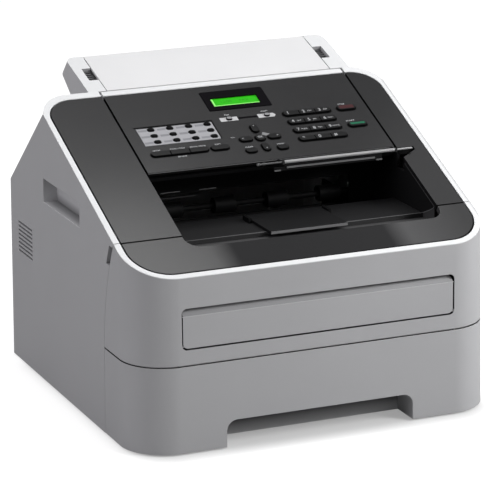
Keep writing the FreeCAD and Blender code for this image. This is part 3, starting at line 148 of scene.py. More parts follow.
def along_width(material, stops):
    """Paints light and shade across the part: each stop is a place in millimetres and the shares of the
    material's colour and of its gloss there."""
    tree = material.node_tree
    shader = tree.nodes["Principled BSDF"]
    place = tree.nodes.new("ShaderNodeTexCoord")
    parts = tree.nodes.new("ShaderNodeSeparateXYZ")
    tree.links.new(place.outputs["Object"], parts.inputs[0])
    across = tree.nodes.new("ShaderNodeMapRange")
    across.inputs["From Min"].default_value = -0.2
    across.inputs["From Max"].default_value = 0.2
    tree.links.new(parts.outputs["X"], across.inputs["Value"])
    ramp = tree.nodes.new("ShaderNodeValToRGB")
    tree.links.new(across.outputs["Result"], ramp.inputs["Fac"])
    marks = ramp.color_ramp.elements
    while len(marks) < len(stops):
        marks.new(0.5)
    for mark, (x, colour_share, gloss_share) in zip(marks, stops):
        mark.position = (x + 200) / 400
        mark.color = (colour_share, gloss_share, 0, 1)
    shares = tree.nodes.new("ShaderNodeSeparateColor")
    tree.links.new(ramp.outputs["Color"], shares.inputs["Color"])
    multiply_colour(material, shares.outputs["Red"])
    gloss = tree.nodes.new("ShaderNodeMapRange")
    gloss.inputs["To Max"].default_value = shader.inputs["Specular IOR Level"].default_value
    tree.links.new(shares.outputs["Green"], gloss.inputs["Value"])
    tree.links.new(gloss.outputs["Result"], shader.inputs["Specular IOR Level"])


def fade(material, along, start, end, first, last):
    """Paints shade along a direction by scaling a material's colour: the shares of its colour at two
    places, in millimetres.
    """
    tree = material.node_tree
    place = tree.nodes.new("ShaderNodeTexCoord")
    reach = tree.nodes.new("ShaderNodeVectorMath")
    reach.operation = "DOT_PRODUCT"
    reach.inputs[1].default_value = along
    tree.links.new(place.outputs["Object"], reach.inputs[0])
    share = tree.nodes.new("ShaderNodeMapRange")
    for socket, value in (("From Min", start / 1000), ("From Max", end / 1000), ("To Min", first),
                          ("To Max", last)):
        share.inputs[socket].default_value = value
    tree.links.new(reach.outputs["Value"], share.inputs["Value"])
    multiply_colour(material, share.outputs["Result"])


CASING = plastic("casing_grey", (158, 158, 160), 0.5, 0.35)
FEEDER_END_AND_BEND_HIGHLIGHT = plastic("feeder_grey", (174, 174, 176), 0.5, 0.35)
SLOT_BAND_SHADE = plastic("slot_band_painted_shade", (128, 128, 130), 0.5, 0.35)
SEAM_LIGHT_AND_SHADE = plastic("seam_painted_light_and_shade", (165, 165, 166), 0.6)
TRAY_GRIP_LIGHT_AND_SHADE = plastic("tray_grip_painted_light_and_shade", (200, 200, 202), 0.6, specular=0.1)
GRIP_WALL_LIGHT_AND_SHADE = plastic("grip_wall_painted_light_and_shade", (174, 174, 176), 0.5, 0.35)
GRIP_END_LIGHT_AND_SHADE = plastic("grip_end_painted_light_and_shade", (192, 192, 194), 0.5, 0.35)
GRIP_EDGE_HIGHLIGHT = plastic("grip_edge_painted_highlight", (232, 232, 233), 0.5)
WHITE = plastic("trim_white", (209, 210, 211), 0.45, 0.12, specular=0.25)
PAPER_WHITE = plastic("feeder_white", (208, 208, 209), 0.45, 0.2)
DARK = plastic("panel_dark", (35, 35, 36), 0.21, 0.3, specular=0.25)
LIP_REFLECTION = plastic("lip_dark_painted_reflection", (64, 64, 65), 0.21, 0.3, specular=0.25)
# Painted reflection: the lip's colour and gloss change across its width, the gloss gone over its middle and
# the colour brightest near 101 mm, standing for reflections on it
along_width(LIP_REFLECTION, ((-96, 0.43, 1), (-74, 0.5, 0), (80, 0.5, 0), (101, 1, 1), (165, 0.42, 1)))
BAY_BLACK_AND_SHADE = plastic("bay_black_and_painted_shade", (12, 12, 13), 0.6, 0.3, specular=0.1)
SHADE_BLACK = plastic("painted_shade_black", (28, 28, 29), 0.5, 0.3, specular=0.2)
STRIP_LIGHT = plastic("bay_strip_painted_light", (54, 54, 55), 0.5, 0.3)
WALL_SHADE = plastic("bay_wall_painted_shade", (19, 19, 20), 0.6, 0.3, specular=0.1)
RIB_HIGHLIGHT = plastic("bay_rib_painted_highlight", (44, 44, 45), 0.5)
STEP_SHADE = plastic("bay_step_painted_shade", (29, 29, 30), 0.5)
SHADOW_BLACK = plastic("painted_shadow_black", (5, 5, 5), 0.7, specular=0.05)
RIDGE_HIGHLIGHT = plastic("ridge_painted_highlight", (96, 96, 97), 0.4)
EDGE_HIGHLIGHT = plastic("painted_edge_highlight", (150, 150, 151), 0.4)
KEY = plastic("key_black", (16, 16, 17), 0.35, 0.1, specular=0.12)
TOUCH = plastic("touch_key_black", (6, 6, 7), 0.45, specular=0.04)
FLAP_BLACK = plastic("output_flap_black", (22, 22, 23), 0.5, 0.3, specular=0.15)
FLAP_EDGE_HIGHLIGHT = plastic("output_flap_edge_highlight", (112, 112, 113), 0.4)
WING = plastic("flap_wing_grey", (64, 64, 65), 0.35)
KEY_SIDE_SHADE = plastic("key_side_painted_shade", (5, 5, 6), 0.5, specular=0.1)
MODE_KEY = plastic("mode_key_grey", (120, 120, 122), 0.4)
BEZEL = plastic("bezel_black", (20, 19, 21), 0.7, specular=0)
LCD = glowing("lcd_green", (34, 158, 6), 0.22)
LCD_EDGE_GLOW = glowing("lcd_edge_painted_glow", (128, 206, 104), 0.34)
LCD_TEXT = glowing("lcd_text", (36, 132, 18), 0.15)
CARD = plastic("card_pale", (142, 142, 146), 0.5)
CARD_STRIPE = plastic("card_stripe", (112, 112, 117), 0.5)
ACCENT = plastic("accent_grey", (112, 112, 114), 0.5)
RED = plastic("stop_red", (58, 24, 27), 0.4, specular=0.15)
GREEN = plastic("start_green", (20, 96, 68), 0.4, specular=0.15)
RUBBER = plastic("rubber_black", (28, 28, 28), 0.8, 0.5)
STEEL = plastic("plated_steel", (170, 170, 172), 0.35, 0.2)
STEEL.node_tree.nodes["Principled BSDF"].inputs["Metallic"].default_value = 1
BOARD = plastic("board_green", (24, 92, 50), 0.4)
PRINT = plastic("print_white", (178, 179, 181), 0.6)
SILVER = plastic("badge_silver", (172, 172, 174), 0.5)
BAND = plastic("flap_grey", (138, 138, 139), 0.35, 0.2)
LOW_BAND = plastic("flap_lip_grey", (92, 92, 93), 0.4)
PANEL_EDGE_HIGHLIGHT = plastic("panel_edge_painted_highlight", (84, 84, 85), 0.4)
GUIDE_AND_RIB_HIGHLIGHT = plastic("guide_grey_and_rib_highlight", (70, 70, 72), 0.5, 0.3)

# Painted shade: the white trims darken over their last 3 mm towards the casing's right-hand edge, standing
# for the shading of the rim's rounded outer edge
fade(WHITE, (1, 0, 0.011), 181, 184, 1, 0.62)
# Painted light and shade: the tray's cut-out is lighter than the casing at its foot and fades to nearly
# black under its top
fade(TRAY_GRIP_LIGHT_AND_SHADE, (0, 0, 1), 2, 17, 1, 0.03)
# Painted light and shade in the carrying recesses: the back walls darker towards their foot, the end walls
# darker towards their top
fade(GRIP_WALL_LIGHT_AND_SHADE, (0, 0, 1), 185, 193, 0.5, 1)
fade(GRIP_END_LIGHT_AND_SHADE, (0, 0, 1), 186, 206, 1, 0.62)

LOOKS = {
    CASING: ("left_side_cover", "right_side_cover", "rear_cover", "rear_door", "adf_housing", "front_cover",
             "tray_front", "feed_slot_cover"),
    WHITE: ("top_trim", "front_trim", "panel_trim"),
    PAPER_WHITE: ("document_support",),
    DARK: ("top_cover", "control_panel"), LIP_REFLECTION: ("front_cover_lip",), FLAP_BLACK: ("output_flap",),
    BAY_BLACK_AND_SHADE: ("base_frame", "document_chute", "scan_unit", "drum_unit", "toner_cartridge", "fuser_unit",
          "rear_sockets", "paper_tray", "exit_roller"),
    TOUCH: ("one_touch_keys",),
    GUIDE_AND_RIB_HIGHLIGHT: ("document_guide_left", "document_guide_right"),
    BEZEL: ("lcd_bezel",), LCD: ("lcd_screen",), CARD: ("label_card",),
    BAND: ("document_flap",), BOARD: ("main_board",), STEEL: ("screws", "lift_plate"),
    RUBBER: ("feet", "adf_roller", "pickup_roller"),
}


def dress(item, *materials):
    item.data.materials.clear()
    for material in materials:
        item.data.materials.append(material)


for name, item in nodes.items():
    dress(item, KEY)
for material, names in LOOKS.items():
    for name in names:
        dress(nodes[name], material)


def second_material(item, material, wanted):
    """Gives the faces that the test picks another material."""
    item.data.materials.append(material)
    last = len(item.data.materials) - 1
    for face in item.data.polygons:
        if wanted(face):
            face.material_index = last


# Softened copies stand for the moulded pieces, whose edges are never knife sharp
def soften(name, radius, steep=28, segments=2, below=1):
    """Rounds the sharp outer edges that lie below a height, in metres."""
    source = nodes[name]
    copy = source.copy()
    copy.data = source.data.copy()
    copy.name = name + "_moulded"
    bpy.context.collection.objects.link(copy)
    mesh = bmesh.new()
    mesh.from_mesh(copy.data)
    bmesh.ops.remove_doubles(mesh, verts=mesh.verts, dist=2e-6)
    bmesh.ops.dissolve_limit(mesh, angle_limit=math.radians(0.6), verts=mesh.verts, edges=mesh.edges,
                             delimit={"MATERIAL"})
    edges = [edge for edge in mesh.edges if len(edge.link_faces) == 2 and edge.is_convex
             and edge.calc_face_angle(0) > math.radians(steep)
             and max(vert.co.z for vert in edge.verts) < below]
    bmesh.ops.bevel(mesh, geom=edges, offset=radius / 1000, offset_type="OFFSET", segments=segments,
                    profile=0.5, affect="EDGES", clamp_overlap=True)
    for face in mesh.faces:
        face.smooth = True
    for edge in mesh.edges:
        if len(edge.link_faces) == 2:
            edge.smooth = edge.calc_face_angle(0) < math.radians(steep)
    mesh.to_mesh(copy.data)
    mesh.free()
    weighted = copy.modifiers.new("weighted", "WEIGHTED_NORMAL")
    weighted.keep_sharp = True
    copy.parent = None
    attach(copy, body_of[name])
    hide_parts(name)
    return copy


moulded = {}
for name, radius in (
        ("left_side_cover", 0.6), ("right_side_cover", 0.6), ("front_cover", 0.6),
        ("feed_slot_cover", 0.8), ("front_trim", 0.35), ("top_trim", 0.35), ("panel_trim", 0.6),
        ("front_cover_lip", 0.5), ("document_support", 0.5), ("adf_housing", 0.9), ("output_flap", 0.5),
        ("rear_door", 0.8), ("rear_cover", 0.5)):
    moulded[name] = soften(name, radius)
# The tray front's top rim is too thin to round
moulded["tray_front"] = soften("tray_front", 0.6, below=(TRAY_TOP - 0.1) / 1000)

# Keys: rounded caps, the small ones under the card domed; the other keys' sides and rounded edges are
# painted near black as shade
panel_normal = Vector((0, -math.sin(SLOPE), math.cos(SLOPE)))
FACING_UP = 0.93
KEYS = [name for name in nodes if name.startswith("key_") or name.endswith(("_key", "_keys"))]
for name in KEYS:
    touch = name == "one_touch_keys"
    moulded[name] = soften(name, 1.5 if touch else 0.6, segments=4 if touch else 2)
    if not touch:
        second_material(moulded[name], KEY_SIDE_SHADE, lambda face: face.normal.dot(panel_normal) < FACING_UP)


def on_mode_key(face):
    return face.normal.dot(panel_normal) > FACING_UP and face.center.y > 0.015


second_material(moulded["function_keys"], MODE_KEY, on_mode_key)


def inside_seam(face):
    """The sides of the dark top's pieces, which are seen only as black seams; they are painted black as
    shade.
    """
    return depth_under_top(face.center) > 0.3 and face.normal.dot(panel_normal) < 0.9


# Painted shade: the dark top's faces below its surface are made near black, and the panel's and the lip's
# sides black, though all are the same dark plastic
second_material(nodes["top_cover"], BAY_BLACK_AND_SHADE, lambda face: depth_under_top(face.center) > 0.3)
second_material(nodes["control_panel"], SHADOW_BLACK, inside_seam)
second_material(moulded["front_cover_lip"], SHADOW_BLACK, inside_seam)


def on_bay_floor(face):
    return face.normal.z > 0.8 and 0.172 < face.center.z < 0.1768 and face.center.y < 0


def on_ridge(face):
    return -0.0947 < face.center.y < -0.0932 and 0.1763 < face.center.z < 0.1775


def on_bay_wall(face):
    """The bay's right-hand wall, the one in view."""
    return face.normal.x < -0.9 and 0.146 < face.center.x < 0.148 and face.center.y < 0.02


def in_bay_corner(face):
    """The low front end of that wall and the rounded corner of the lip beside it."""
    if face.center.x < 0.138 or face.normal.x > -0.5 or face.center.y > -0.1:
        return False
    return face.center.z < 0.182 or face.center.y < -0.124


def under_ridge(face):
    """The low step below the ridge at the front of the bay floor."""
    return face.normal.y < -0.9 and -0.0948 < face.center.y < -0.0942 and face.center.z < 0.1763


# Painted light and shade on the bay's one dark plastic: its right-hand wall and the step below the ridge
# darker, the floor near black, the low front strip and corner a lighter grey, and the ridge a painted
# highlight
second_material(nodes["top_cover"], WALL_SHADE, on_bay_wall)
second_material(nodes["top_cover"], STEP_SHADE, under_ridge)
second_material(nodes["top_cover"], STRIP_LIGHT, in_bay_corner)
second_material(moulded["front_cover_lip"], STRIP_LIGHT, in_bay_corner)
second_material(nodes["top_cover"], SHADE_BLACK, on_bay_floor)
second_material(nodes["top_cover"], RIDGE_HIGHLIGHT, on_ridge)
second_material(nodes["top_cover"], STRIP_LIGHT, lambda face: on_bay_floor(face) and face.center.y < -0.095)
# Painted highlight: the output flap's front edge is a light grey on the flap's black plastic
second_material(moulded["output_flap"], FLAP_EDGE_HIGHLIGHT, lambda face: face.center.y < -0.1045)

FLAP_AXIS = Vector((0, -0.045, 0.2291))


def flap_plate(face):
    offset = face.center - FLAP_AXIS
    return math.hypot(offset.y, offset.z) > 0.0023 and face.center.y > -0.0458


second_material(nodes["document_flap"], BAY_BLACK_AND_SHADE, flap_plate)
second_material(nodes["document_flap"], LOW_BAND,
                lambda face: face.center.y < -0.0458 and face.center.z < 0.2268)


def thin_wing(face):
    offset = face.center - FLAP_AXIS
    return math.hypot(offset.y, offset.z) < 0.0016 and face.center.x < 0.0225


second_material(nodes["document_flap"], WING, thin_wing)


def in_casing_seam(face):
    """The facing sides of the front cover, the tray and the side covers, seen only as dark seams."""
    x, y, z = face.center * 1000
    reach = math.hypot(y - SEAM_MIDDLE, z - TRAY_TOP)
    if abs(reach - SEAM_RADIUS) < 0.8 and abs(face.normal.x) < 0.5 and z > 84:
        return True
    if abs(y - TRAY_END) < 0.8 and abs(face.normal.y) > 0.7 and z < TRAY_TOP:
        return True
    return abs(z - TRAY_TOP) < 1.4 and abs(face.normal.z) > 0.7


# Painted light and shade: the seam faces take a middle grey, a little lighter than the casing and darker
# than the white trims, so the seams show as grey lines
for name in ("left_side_cover", "right_side_cover", "front_cover", "tray_front", "top_trim", "front_trim"):
    second_material(moulded[name], SEAM_LIGHT_AND_SHADE, in_casing_seam)


def in_grip(face):
    """Inside the carrying recess of a side cover."""
    x, y, z = face.center * 1000
    inside = GRIP_FRONT < y < GRIP_REAR and 183.5 < z < 209 and abs(x) < SIDE_FACE - 0.4
    return inside and face.area > 1e-6


def on_grip_floor(face):
    return in_grip(face) and face.normal.z > 0.9


def on_grip_edge(face):
    """The rounded lower edge of a carrying recess."""
    x, y, z = face.center * 1000
    low = GRIP_FRONT < y < GRIP_REAR and 183.8 < z < 185 and abs(x) > SIDE_FACE
    return low and 0.3 < face.normal.z < 0.95


# Painted light and shade in each carrying recess: greys lighter than the casing that fade into shade, the
# floor darker towards its inner end, and a painted highlight along the rounded lower edge
for name, side in (("left_side_cover", -1), ("right_side_cover", 1)):
    second_material(moulded[name], GRIP_WALL_LIGHT_AND_SHADE, in_grip)
    second_material(moulded[name], GRIP_END_LIGHT_AND_SHADE, lambda face: in_grip(face) and abs(face.normal.y) > 0.9)
    grip_floor = plastic(f"grip_floor_painted_light_and_shade_{name}", (190, 190, 192), 0.5, 0.35)
    fade(grip_floor, (side, 0, 0), 168, 180, 0.3, 1)
    second_material(moulded[name], grip_floor, on_grip_floor)
    second_material(moulded[name], GRIP_EDGE_HIGHLIGHT, on_grip_edge)


def in_recess(face):
    """Inside the front cover's recess, behind the feed slot cover."""
    x, y, z = face.center * 1000
    return abs(x) < 138.5 and 99 < z < 140.5 and y > -177.5


# Painted shade: the recess's faces behind the slot cover and the slot cover's sides and underside are made
# near black, and its upper leaning band a darker grey, though all are the casing's grey plastic
second_material(moulded["front_cover"], SHADE_BLACK, in_recess)
second_material(moulded["feed_slot_cover"], SLOT_BAND_SHADE, lambda face: 0.25 < face.normal.z < 0.85)
second_material(moulded["feed_slot_cover"], SHADE_BLACK,
                lambda face: abs(face.normal.x) > 0.6 or face.normal.z < -0.6)


def in_tray_grip(face):
    """Inside the cut-out at the foot of the tray's front."""
    x, y, z = face.center * 1000
    return y > -179.5 and z < 28 and abs(x) < 87 and not (face.normal.y > 0.5 or y > -147)


# Painted light and shade: the cut-out's inside takes the fading grey, though it is the casing's plastic
second_material(moulded["tray_front"], TRAY_GRIP_LIGHT_AND_SHADE, in_tray_grip)
feeder_normal = Vector((0, -math.sin(FEEDER_SLOPE), math.cos(FEEDER_SLOPE)))
second_material(moulded["adf_housing"], WHITE, lambda face: face.normal.dot(feeder_normal) > 0.75)
second_material(moulded["adf_housing"], FEEDER_END_AND_BEND_HIGHLIGHT, lambda face: abs(face.normal.x) > 0.7)


# Lettering and marks printed on the panel, with painted shadows round the keys and the card and a painted
# glow on the display
def place_piece(name, data, body, material):
    """Makes a mesh a piece that moves with a body."""
    item = bpy.data.objects.new(name, data)
    bpy.context.collection.objects.link(item)
    dress(item, material)
    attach(item, body)


def add_piece(name, mesh, body, material):
    data = bpy.data.meshes.new(name)
    mesh.to_mesh(data)
    mesh.free()
    place_piece(name, data, body, material)


def tilt(u, v, w):
    place = Matrix.Rotation(SLOPE, 4, "X")
    place.translation = on_top(u, v, w)
    return place


def lettering(name, text, u, v, w, height, body, material=PRINT):
    """A printed word, with its middle at the given place and its capitals that many millimetres high."""
    curve = bpy.data.curves.new(name, "FONT")
    curve.body = text
    curve.align_x = "CENTER"
    curve.align_y = "CENTER"
    curve.size = height * 1.42 / 1000
    curve.extrude = 0.00002
    writer = bpy.data.objects.new(name + "_curve", curve)
    bpy.context.collection.objects.link(writer)
    bpy.context.view_layer.update()
    mesh = bpy.data.meshes.new_from_object(writer.evaluated_get(bpy.context.evaluated_depsgraph_get()))
    bpy.data.objects.remove(writer)
    mesh.transform(tilt(u, v, w))
    place_piece(name, mesh, body, material)


def plate(name, outline, w, thick, body, material):
    """A thin flat shape on the panel: an outline of (u, v) points with a little thickness."""
    mesh = bmesh.new()
    low = [mesh.verts.new(on_top(u, v, w)) for u, v in outline]
    high = [mesh.verts.new(on_top(u, v, w + thick)) for u, v in outline]
    mesh.faces.new(high)
    mesh.faces.new(low[::-1])
    count = len(outline)
    for i in range(count):
        mesh.faces.new((low[i], low[(i + 1) % count], high[(i + 1) % count], high[i]))
    add_piece(name, mesh, body, material)


def slab(u0, v0, u1, v1):
    return [(u0, v0), (u1, v0), (u1, v1), (u0, v1)]


KEY_TOP = 1.8
INK = 0.02
CARD_TOP = 0.41
LCD_TOP = -0.6
DIAL = (("one", "1", 62.75, 227.3), ("two", "2", 79.75, 227.3), ("three", "3", 96.75, 227.3),
        ("four", "4", 62.75, 213.2), ("five", "5", 79.75, 213.2), ("six", "6", 96.75, 213.2),
        ("seven", "7", 62.75, 199.1), ("eight", "8", 79.75, 199.1), ("nine", "9", 96.75, 199.1),
        ("star", "*", 62.75, 185.0), ("zero", "0", 79.75, 185.0), ("hash", "#", 96.75, 185.0))
LETTERS = {"two": "ABC", "three": "DEF", "four": "GHI", "five": "JKL", "six": "MNO", "seven": "PQRS",
           "eight": "TUV", "nine": "WXYZ"}
for name, digit, u, v in DIAL:
    lettering("digit_" + name, digit, u - 3.6, v, KEY_TOP + INK, 4.2, "key_" + name)
    if name in LETTERS:
        lettering("letters_" + name, LETTERS[name], u + 2.6, v, KEY_TOP + INK, 1.8, "key_" + name)

PANEL = "control_panel"
WORDS = (("word_stop", "STOP", 120, 234.6, 2.2), ("word_start", "START", 118, 206.4, 2.2),
         ("word_fax", "FAX", -2.2, 236.4, 2), ("word_copy", "COPY", 37.8, 236.4, 2),
         ("word_menu", "MENU", 33.2, 181.6, 1.9), ("word_clear", "CLEAR", 0.3, 181.8, 1.9),
         ("word_volume", "VOL", -10, 199.5, 1.7), ("word_hook", "HOOK", -92, 191.6, 1.8),
         ("word_resolution", "RESOLUTION", -70.5, 191.6, 1.8),
         ("word_redial", "REDIAL PAUSE", -49.5, 191.6, 1.8),
         ("word_shift", "SHIFT", -28.8, 191.4, 1.8), ("word_receive", "RECEIVE", -70, 178.6, 1.8))
for name, text, u, v, height in WORDS:
    lettering(name, text, u, v, INK, height, PANEL)
lettering("word_ok", "OK", 16.5, 193.8, KEY_TOP + INK, 2.6, "ok_key")
for name, mark, u, v in (("up", "^", 16.5, 212), ("down", "v", 16.5, 176), ("left", "<", -1.6, 193.8),
                         ("right", ">", 34.6, 193.8)):
    lettering("mark_" + name, mark, u, v, KEY_TOP + INK, 2.6, name + "_key")

plate("mode_badge_fax", slab(-11.6, 226.2, 6.9, 232.4), 0, 0.06, PANEL, SILVER)
plate("mode_badge_copy", [(28.4, 226.2), (45, 226.2), (47.2, 229.3), (45, 232.4), (28.4, 232.4)], 0, 0.06,
      PANEL, SILVER)
plate("mode_line", slab(7.2, 228, 28.2, 230.8), 0, 0.05, PANEL, BEZEL)
plate("nav_accent", [(20.5, 199.5), (24.5, 196.5), (29, 199.5), (22.5, 203)], 0, 0.06, PANEL, ACCENT)


def capsule(u0, v0, u1, v1, grow, turns=8):
    """A shape with round ends, as points that go round it once."""
    radius = min(u1 - u0, v1 - v0) / 2
    points = []
    for u, v, start in ((u1 - radius, v1 - radius, 0), (u0 + radius, v1 - radius, 1),
                        (u0 + radius, v0 + radius, 2), (u1 - radius, v0 + radius, 3)):
        for i in range(turns + 1):
            turn = (start + i / turns) * math.pi / 2
            points.append((u + (radius + grow) * math.cos(turn), v + (radius + grow) * math.sin(turn)))
    return points


def key_shadow_ring(name, u0, v0, u1, v1, reach, material):
    """A painted shadow round a key: a black ring, wider on the side away from the light."""
    inner = [on_top(u, v, INK) for u, v in capsule(u0, v0, u1, v1, 0.4)]
    outer = [on_top(u - 0.2, v - 0.35, INK) for u, v in capsule(u0, v0, u1, v1, 0.4 + reach)]
    mesh = bmesh.new()
    near = [mesh.verts.new(point) for point in inner]
    far = [mesh.verts.new(point) for point in outer]
    count = len(near)
    for i in range(count):
        mesh.faces.new((near[i], far[i], far[(i + 1) % count], near[(i + 1) % count]))
    bmesh.ops.recalc_face_normals(mesh, faces=mesh.faces)
    add_piece(name, mesh, PANEL, material)


KEY_SHADOW_BOXES = [(54.55, v - 3.5, 104.95, v + 3.5) for v in (227.3, 213.2, 199.1, 185)]
KEY_SHADOW_BOXES += [(112.9, 223.8, 131.9, 230.8), (113.3, 195.6, 132.3, 202.6), (-99.6, 181.5, -40.9, 188.5),
              (-37.9, 181.5, -19.7, 188.5), (11.7, 189, 21.3, 198.6), (13, 203.2, 20, 215.2),
              (13, 172.4, 20, 184.4), (-4.9, 190.3, 8.1, 197.3), (24.9, 190.3, 37.9, 197.3),
              (-5.2, 171.9, 5.8, 178.9), (27.7, 171.9, 38.7, 178.9)]
# The first six are the dial's rows and the start and stop keys, whose painted shadows are wider
for number, edges in enumerate(KEY_SHADOW_BOXES):
    key_shadow_ring(f"key_shadow{number}", *edges, 1.1 if number < 6 else 0.7, SHADOW_BLACK)

# Coloured strips on the start and stop keys
plate("start_strip", slab(115.2, 198, 130.4, 200.9), KEY_TOP, 0.05, "start_key", GREEN)
plate("stop_strip", slab(114.8, 225.2, 130, 230.2), KEY_TOP, 0.05, "stop_key", RED)

# The display's paler edges, with a painted glow, and its one line
plate("lcd_left", slab(-9.3, 251.1, -6.6, 264.8), LCD_TOP, 0.05, PANEL, LCD_EDGE_GLOW)
plate("lcd_foot", slab(-6.6, 251.1, 40, 253.9), LCD_TOP, 0.05, PANEL, LCD_EDGE_GLOW)
lettering("lcd_words", "12:00     FAX", 15, 259, LCD_TOP + 0.05, 4, PANEL, LCD_TEXT)

# The label card's words beside its keys, and painted shadows along its back and right-hand edges
for column, u in enumerate((-86, -66.4, -46.8, -27.4)):
    for row, v in enumerate((224.4, 214.4, 204.4)):
        plate(f"card_words{3 * column + row}", slab(u - 13.2, v - 2, u - 4.4, v + 1.2), CARD_TOP, 0.03,
              PANEL, CARD_STRIPE)
plate("card_back_shadow", slab(-101.6, 228.7, -20.2, 231), 0, 0.05, PANEL, SHADOW_BLACK)
plate("card_back_shadow_line", slab(-99.6, 227.6, -21.9, 228.5), CARD_TOP, 0.03, PANEL, SHADOW_BLACK)
plate("card_right_shadow", slab(-21.8, 200.2, -20.2, 228.7), 0, 0.05, PANEL, SHADOW_BLACK)


def block(name, low, high, body, material):
    """A plain block between two corners, in millimetres."""
    mesh = bmesh.new()
    bmesh.ops.create_cube(mesh, size=1)
    for vert in mesh.verts:
        for axis in range(3):
            vert.co[axis] = (low[axis] if vert.co[axis] < 0 else high[axis]) / 1000
    add_piece(name, mesh, body, material)


# Painted highlights: thin light lines standing for lit edges at the slot cover's bend, the panel's front
# edge, and ribs and a clip at the back of the bay
block("slot_cover_bend", (-137.5, -179.24, 131.4), (137.5, -179.1, 132), "feed_slot_cover", FEEDER_END_AND_BEND_HIGHLIGHT)
block("panel_edge", (-112.4, -34.06, 228.6), (144.4, -33.9, 229.4), PANEL, PANEL_EDGE_HIGHLIGHT)
block("bay_rib", (-80, 17.85, 193.6), (-60, 18.05, 194.4), "base", EDGE_HIGHLIGHT)
block("bay_rib_end", (-84, 17.85, 187.8), (-44, 18.05, 188.6), "base", GUIDE_AND_RIB_HIGHLIGHT)
block("bay_clip", (-40, 17.85, 193.1), (-22, 18.05, 194), "base", EDGE_HIGHLIGHT)


def wall_rib(name, path, half, material):
    """A low rib on the bay's right-hand wall, along a path of (y, z) points in millimetres."""
    for number, (start, end) in enumerate(zip(path, path[1:])):
        along = Vector((end[0] - start[0], end[1] - start[1])).normalized()
        side = Vector((-along.y, along.x)) * half
        corners = [Vector(start) - side, Vector(end) - side, Vector(end) + side, Vector(start) + side]
        mesh = bmesh.new()
        rib_face = (BAY_WALL - WALL_RIB_HEIGHT) / 1000
        outer = [mesh.verts.new((rib_face, y / 1000, z / 1000)) for y, z in corners]
        inner = [mesh.verts.new((BAY_WALL / 1000, y / 1000, z / 1000)) for y, z in corners]
        mesh.faces.new(outer)
        mesh.faces.new(inner[::-1])
        for i in range(4):
            mesh.faces.new((outer[i], inner[i], inner[(i + 1) % 4], outer[(i + 1) % 4]))
        bmesh.ops.recalc_face_normals(mesh, faces=mesh.faces)
        add_piece(f"{name}{number}", mesh, "base", material)


# Painted highlights: thin light ribs along the bay's right-hand wall, standing for its lit edges
wall_rib("wall_rib_low", ((-94.8, 177.2), (-111, 184.1), (-117, 187.2), (-118.6, 189)), 0.4, RIDGE_HIGHLIGHT)
wall_rib("wall_rib_side", ((-118.6, 189), (-54, 216.5)), 0.45, RIB_HIGHLIGHT)


# Floor, light and camera
def area(name, place, target, size, power):
    light = bpy.data.lights.new(name, "AREA")
    light.shape = "DISK"
    light.size = size
    light.energy = power
    item = bpy.data.objects.new(name, light)
    bpy.context.collection.objects.link(item)
    item.location = place
    item.rotation_euler = (Vector(target) - Vector(place)).to_track_quat("-Z", "Y").to_euler()
    return item


area("key", (0.9, -1.0, 0.9), (0, 0, 0.1), 0.6, 17)
fill = area("fill", (-2.8, -0.1, 1.5), (0, 0, 0.15), 2.2, 33)
fill.data.color = (0.97, 0.95, 1)
area("top", (0.2, 0.4, 3.2), (0, 0, 0.1), 2.6, 52)
area("side", (1.9, -0.5, 0.5), (0.1, 0, 0.12), 0.8, 10.5)
for name, place, target, size, power in (
        ("card_left", (0.02, 0.06, 0.72), (-0.15, -0.14, 0.2), 0.26, 0.335),
        ("card_right", (0.47, 0.15, 0.74), (0.16, -0.13, 0.19), 0.26, 0.09)):
    card = area(name, place, target, size, power)
    card.visible_diffuse = False
world = bpy.data.worlds.new("studio")
bpy.context.scene.world = world
world.use_nodes = True
world.node_tree.nodes["Background"].inputs["Color"].default_value = (1, 1, 1, 1)
world.node_tree.nodes["Background"].inputs["Strength"].default_value = 0.3


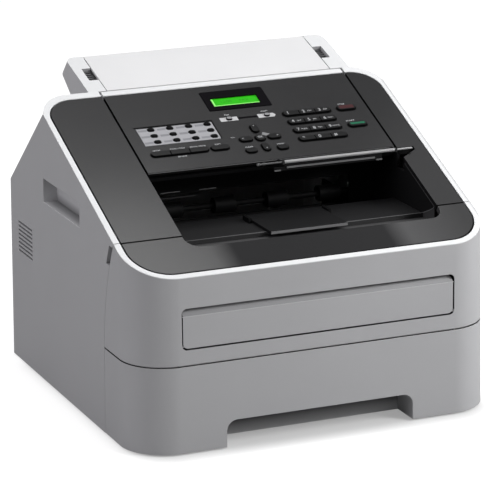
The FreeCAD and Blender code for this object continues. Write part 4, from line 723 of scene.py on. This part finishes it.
def studio_floor():
    """White to the eye, with a painted contact shadow: its glow is turned down round the machine's foot,
    reaching further in front, and it throws back only part of the light.
    """
    material = bpy.data.materials.new("studio_floor")
    material.use_nodes = True
    tree = material.node_tree
    tree.nodes.clear()
    seen = tree.nodes.new("ShaderNodeLightPath")
    grey = tree.nodes.new("ShaderNodeBsdfDiffuse")
    grey.inputs["Color"].default_value = (0.42, 0.42, 0.42, 1)
    place = tree.nodes.new("ShaderNodeTexCoord")
    corner = 0.044
    steps = []
    for operation, other in (("ADD", (0, 0.018, 0)), ("ABSOLUTE", None),
                             ("SUBTRACT", (0.184 - corner, 0.18 - corner, 0)),
                             ("MAXIMUM", (0, 0, 0)), ("LENGTH", None)):
        step = tree.nodes.new("ShaderNodeVectorMath")
        step.operation = operation
        if other:
            step.inputs[1].default_value = other
        source = steps[-1].outputs["Vector"] if steps else place.outputs["Object"]
        tree.links.new(source, step.inputs[0])
        steps.append(step)
    lit = tree.nodes.new("ShaderNodeMapRange")
    lit.interpolation_type = "SMOOTHSTEP"
    lit.inputs["From Min"].default_value = corner - 0.02
    lit.inputs["From Max"].default_value = corner + 0.014
    lit.inputs["To Min"].default_value = 0.3
    lit.inputs["To Max"].default_value = 0.74
    tree.links.new(steps[-1].outputs["Value"], lit.inputs["Value"])
    glow = tree.nodes.new("ShaderNodeEmission")
    tree.links.new(lit.outputs["Result"], glow.inputs["Strength"])
    bright = tree.nodes.new("ShaderNodeAddShader")
    tree.links.new(grey.outputs["BSDF"], bright.inputs[0])
    tree.links.new(glow.outputs["Emission"], bright.inputs[1])
    choice = tree.nodes.new("ShaderNodeMixShader")
    tree.links.new(seen.outputs["Is Camera Ray"], choice.inputs[0])
    tree.links.new(grey.outputs["BSDF"], choice.inputs[1])
    tree.links.new(bright.outputs["Shader"], choice.inputs[2])
    surface = tree.nodes.new("ShaderNodeOutputMaterial")
    tree.links.new(choice.outputs["Shader"], surface.inputs["Surface"])
    return material


bpy.ops.mesh.primitive_plane_add(size=30)
floor = bpy.context.object
floor.name = "floor"
dress(floor, studio_floor())

CAMERA = Vector((-1.051389, -2.499506, 0.904366))
YAW, PITCH, ROLL = 0.3988, -0.2761, -0.0082
FOCAL_PIXELS = 2885.09
PHOTO_WIDTH = 493
ahead = Vector((math.sin(YAW) * math.cos(PITCH), math.cos(YAW) * math.cos(PITCH), math.sin(PITCH)))
level = Vector((math.cos(YAW), -math.sin(YAW), 0))
upright = level.cross(ahead)
across = math.cos(ROLL) * level + math.sin(ROLL) * upright
high = -math.sin(ROLL) * level + math.cos(ROLL) * upright
lens = bpy.data.cameras.new("camera")
lens.sensor_width = 36
lens.lens = FOCAL_PIXELS / PHOTO_WIDTH * lens.sensor_width
lens.clip_end = 100
camera = bpy.data.objects.new("camera", lens)
bpy.context.collection.objects.link(camera)
camera.matrix_world = Matrix((
    (across.x, high.x, -ahead.x, CAMERA.x), (across.y, high.y, -ahead.y, CAMERA.y),
    (across.z, high.z, -ahead.z, CAMERA.z), (0, 0, 0, 1)))
bpy.context.scene.camera = camera
bpy.context.scene.view_settings.view_transform = "Standard"
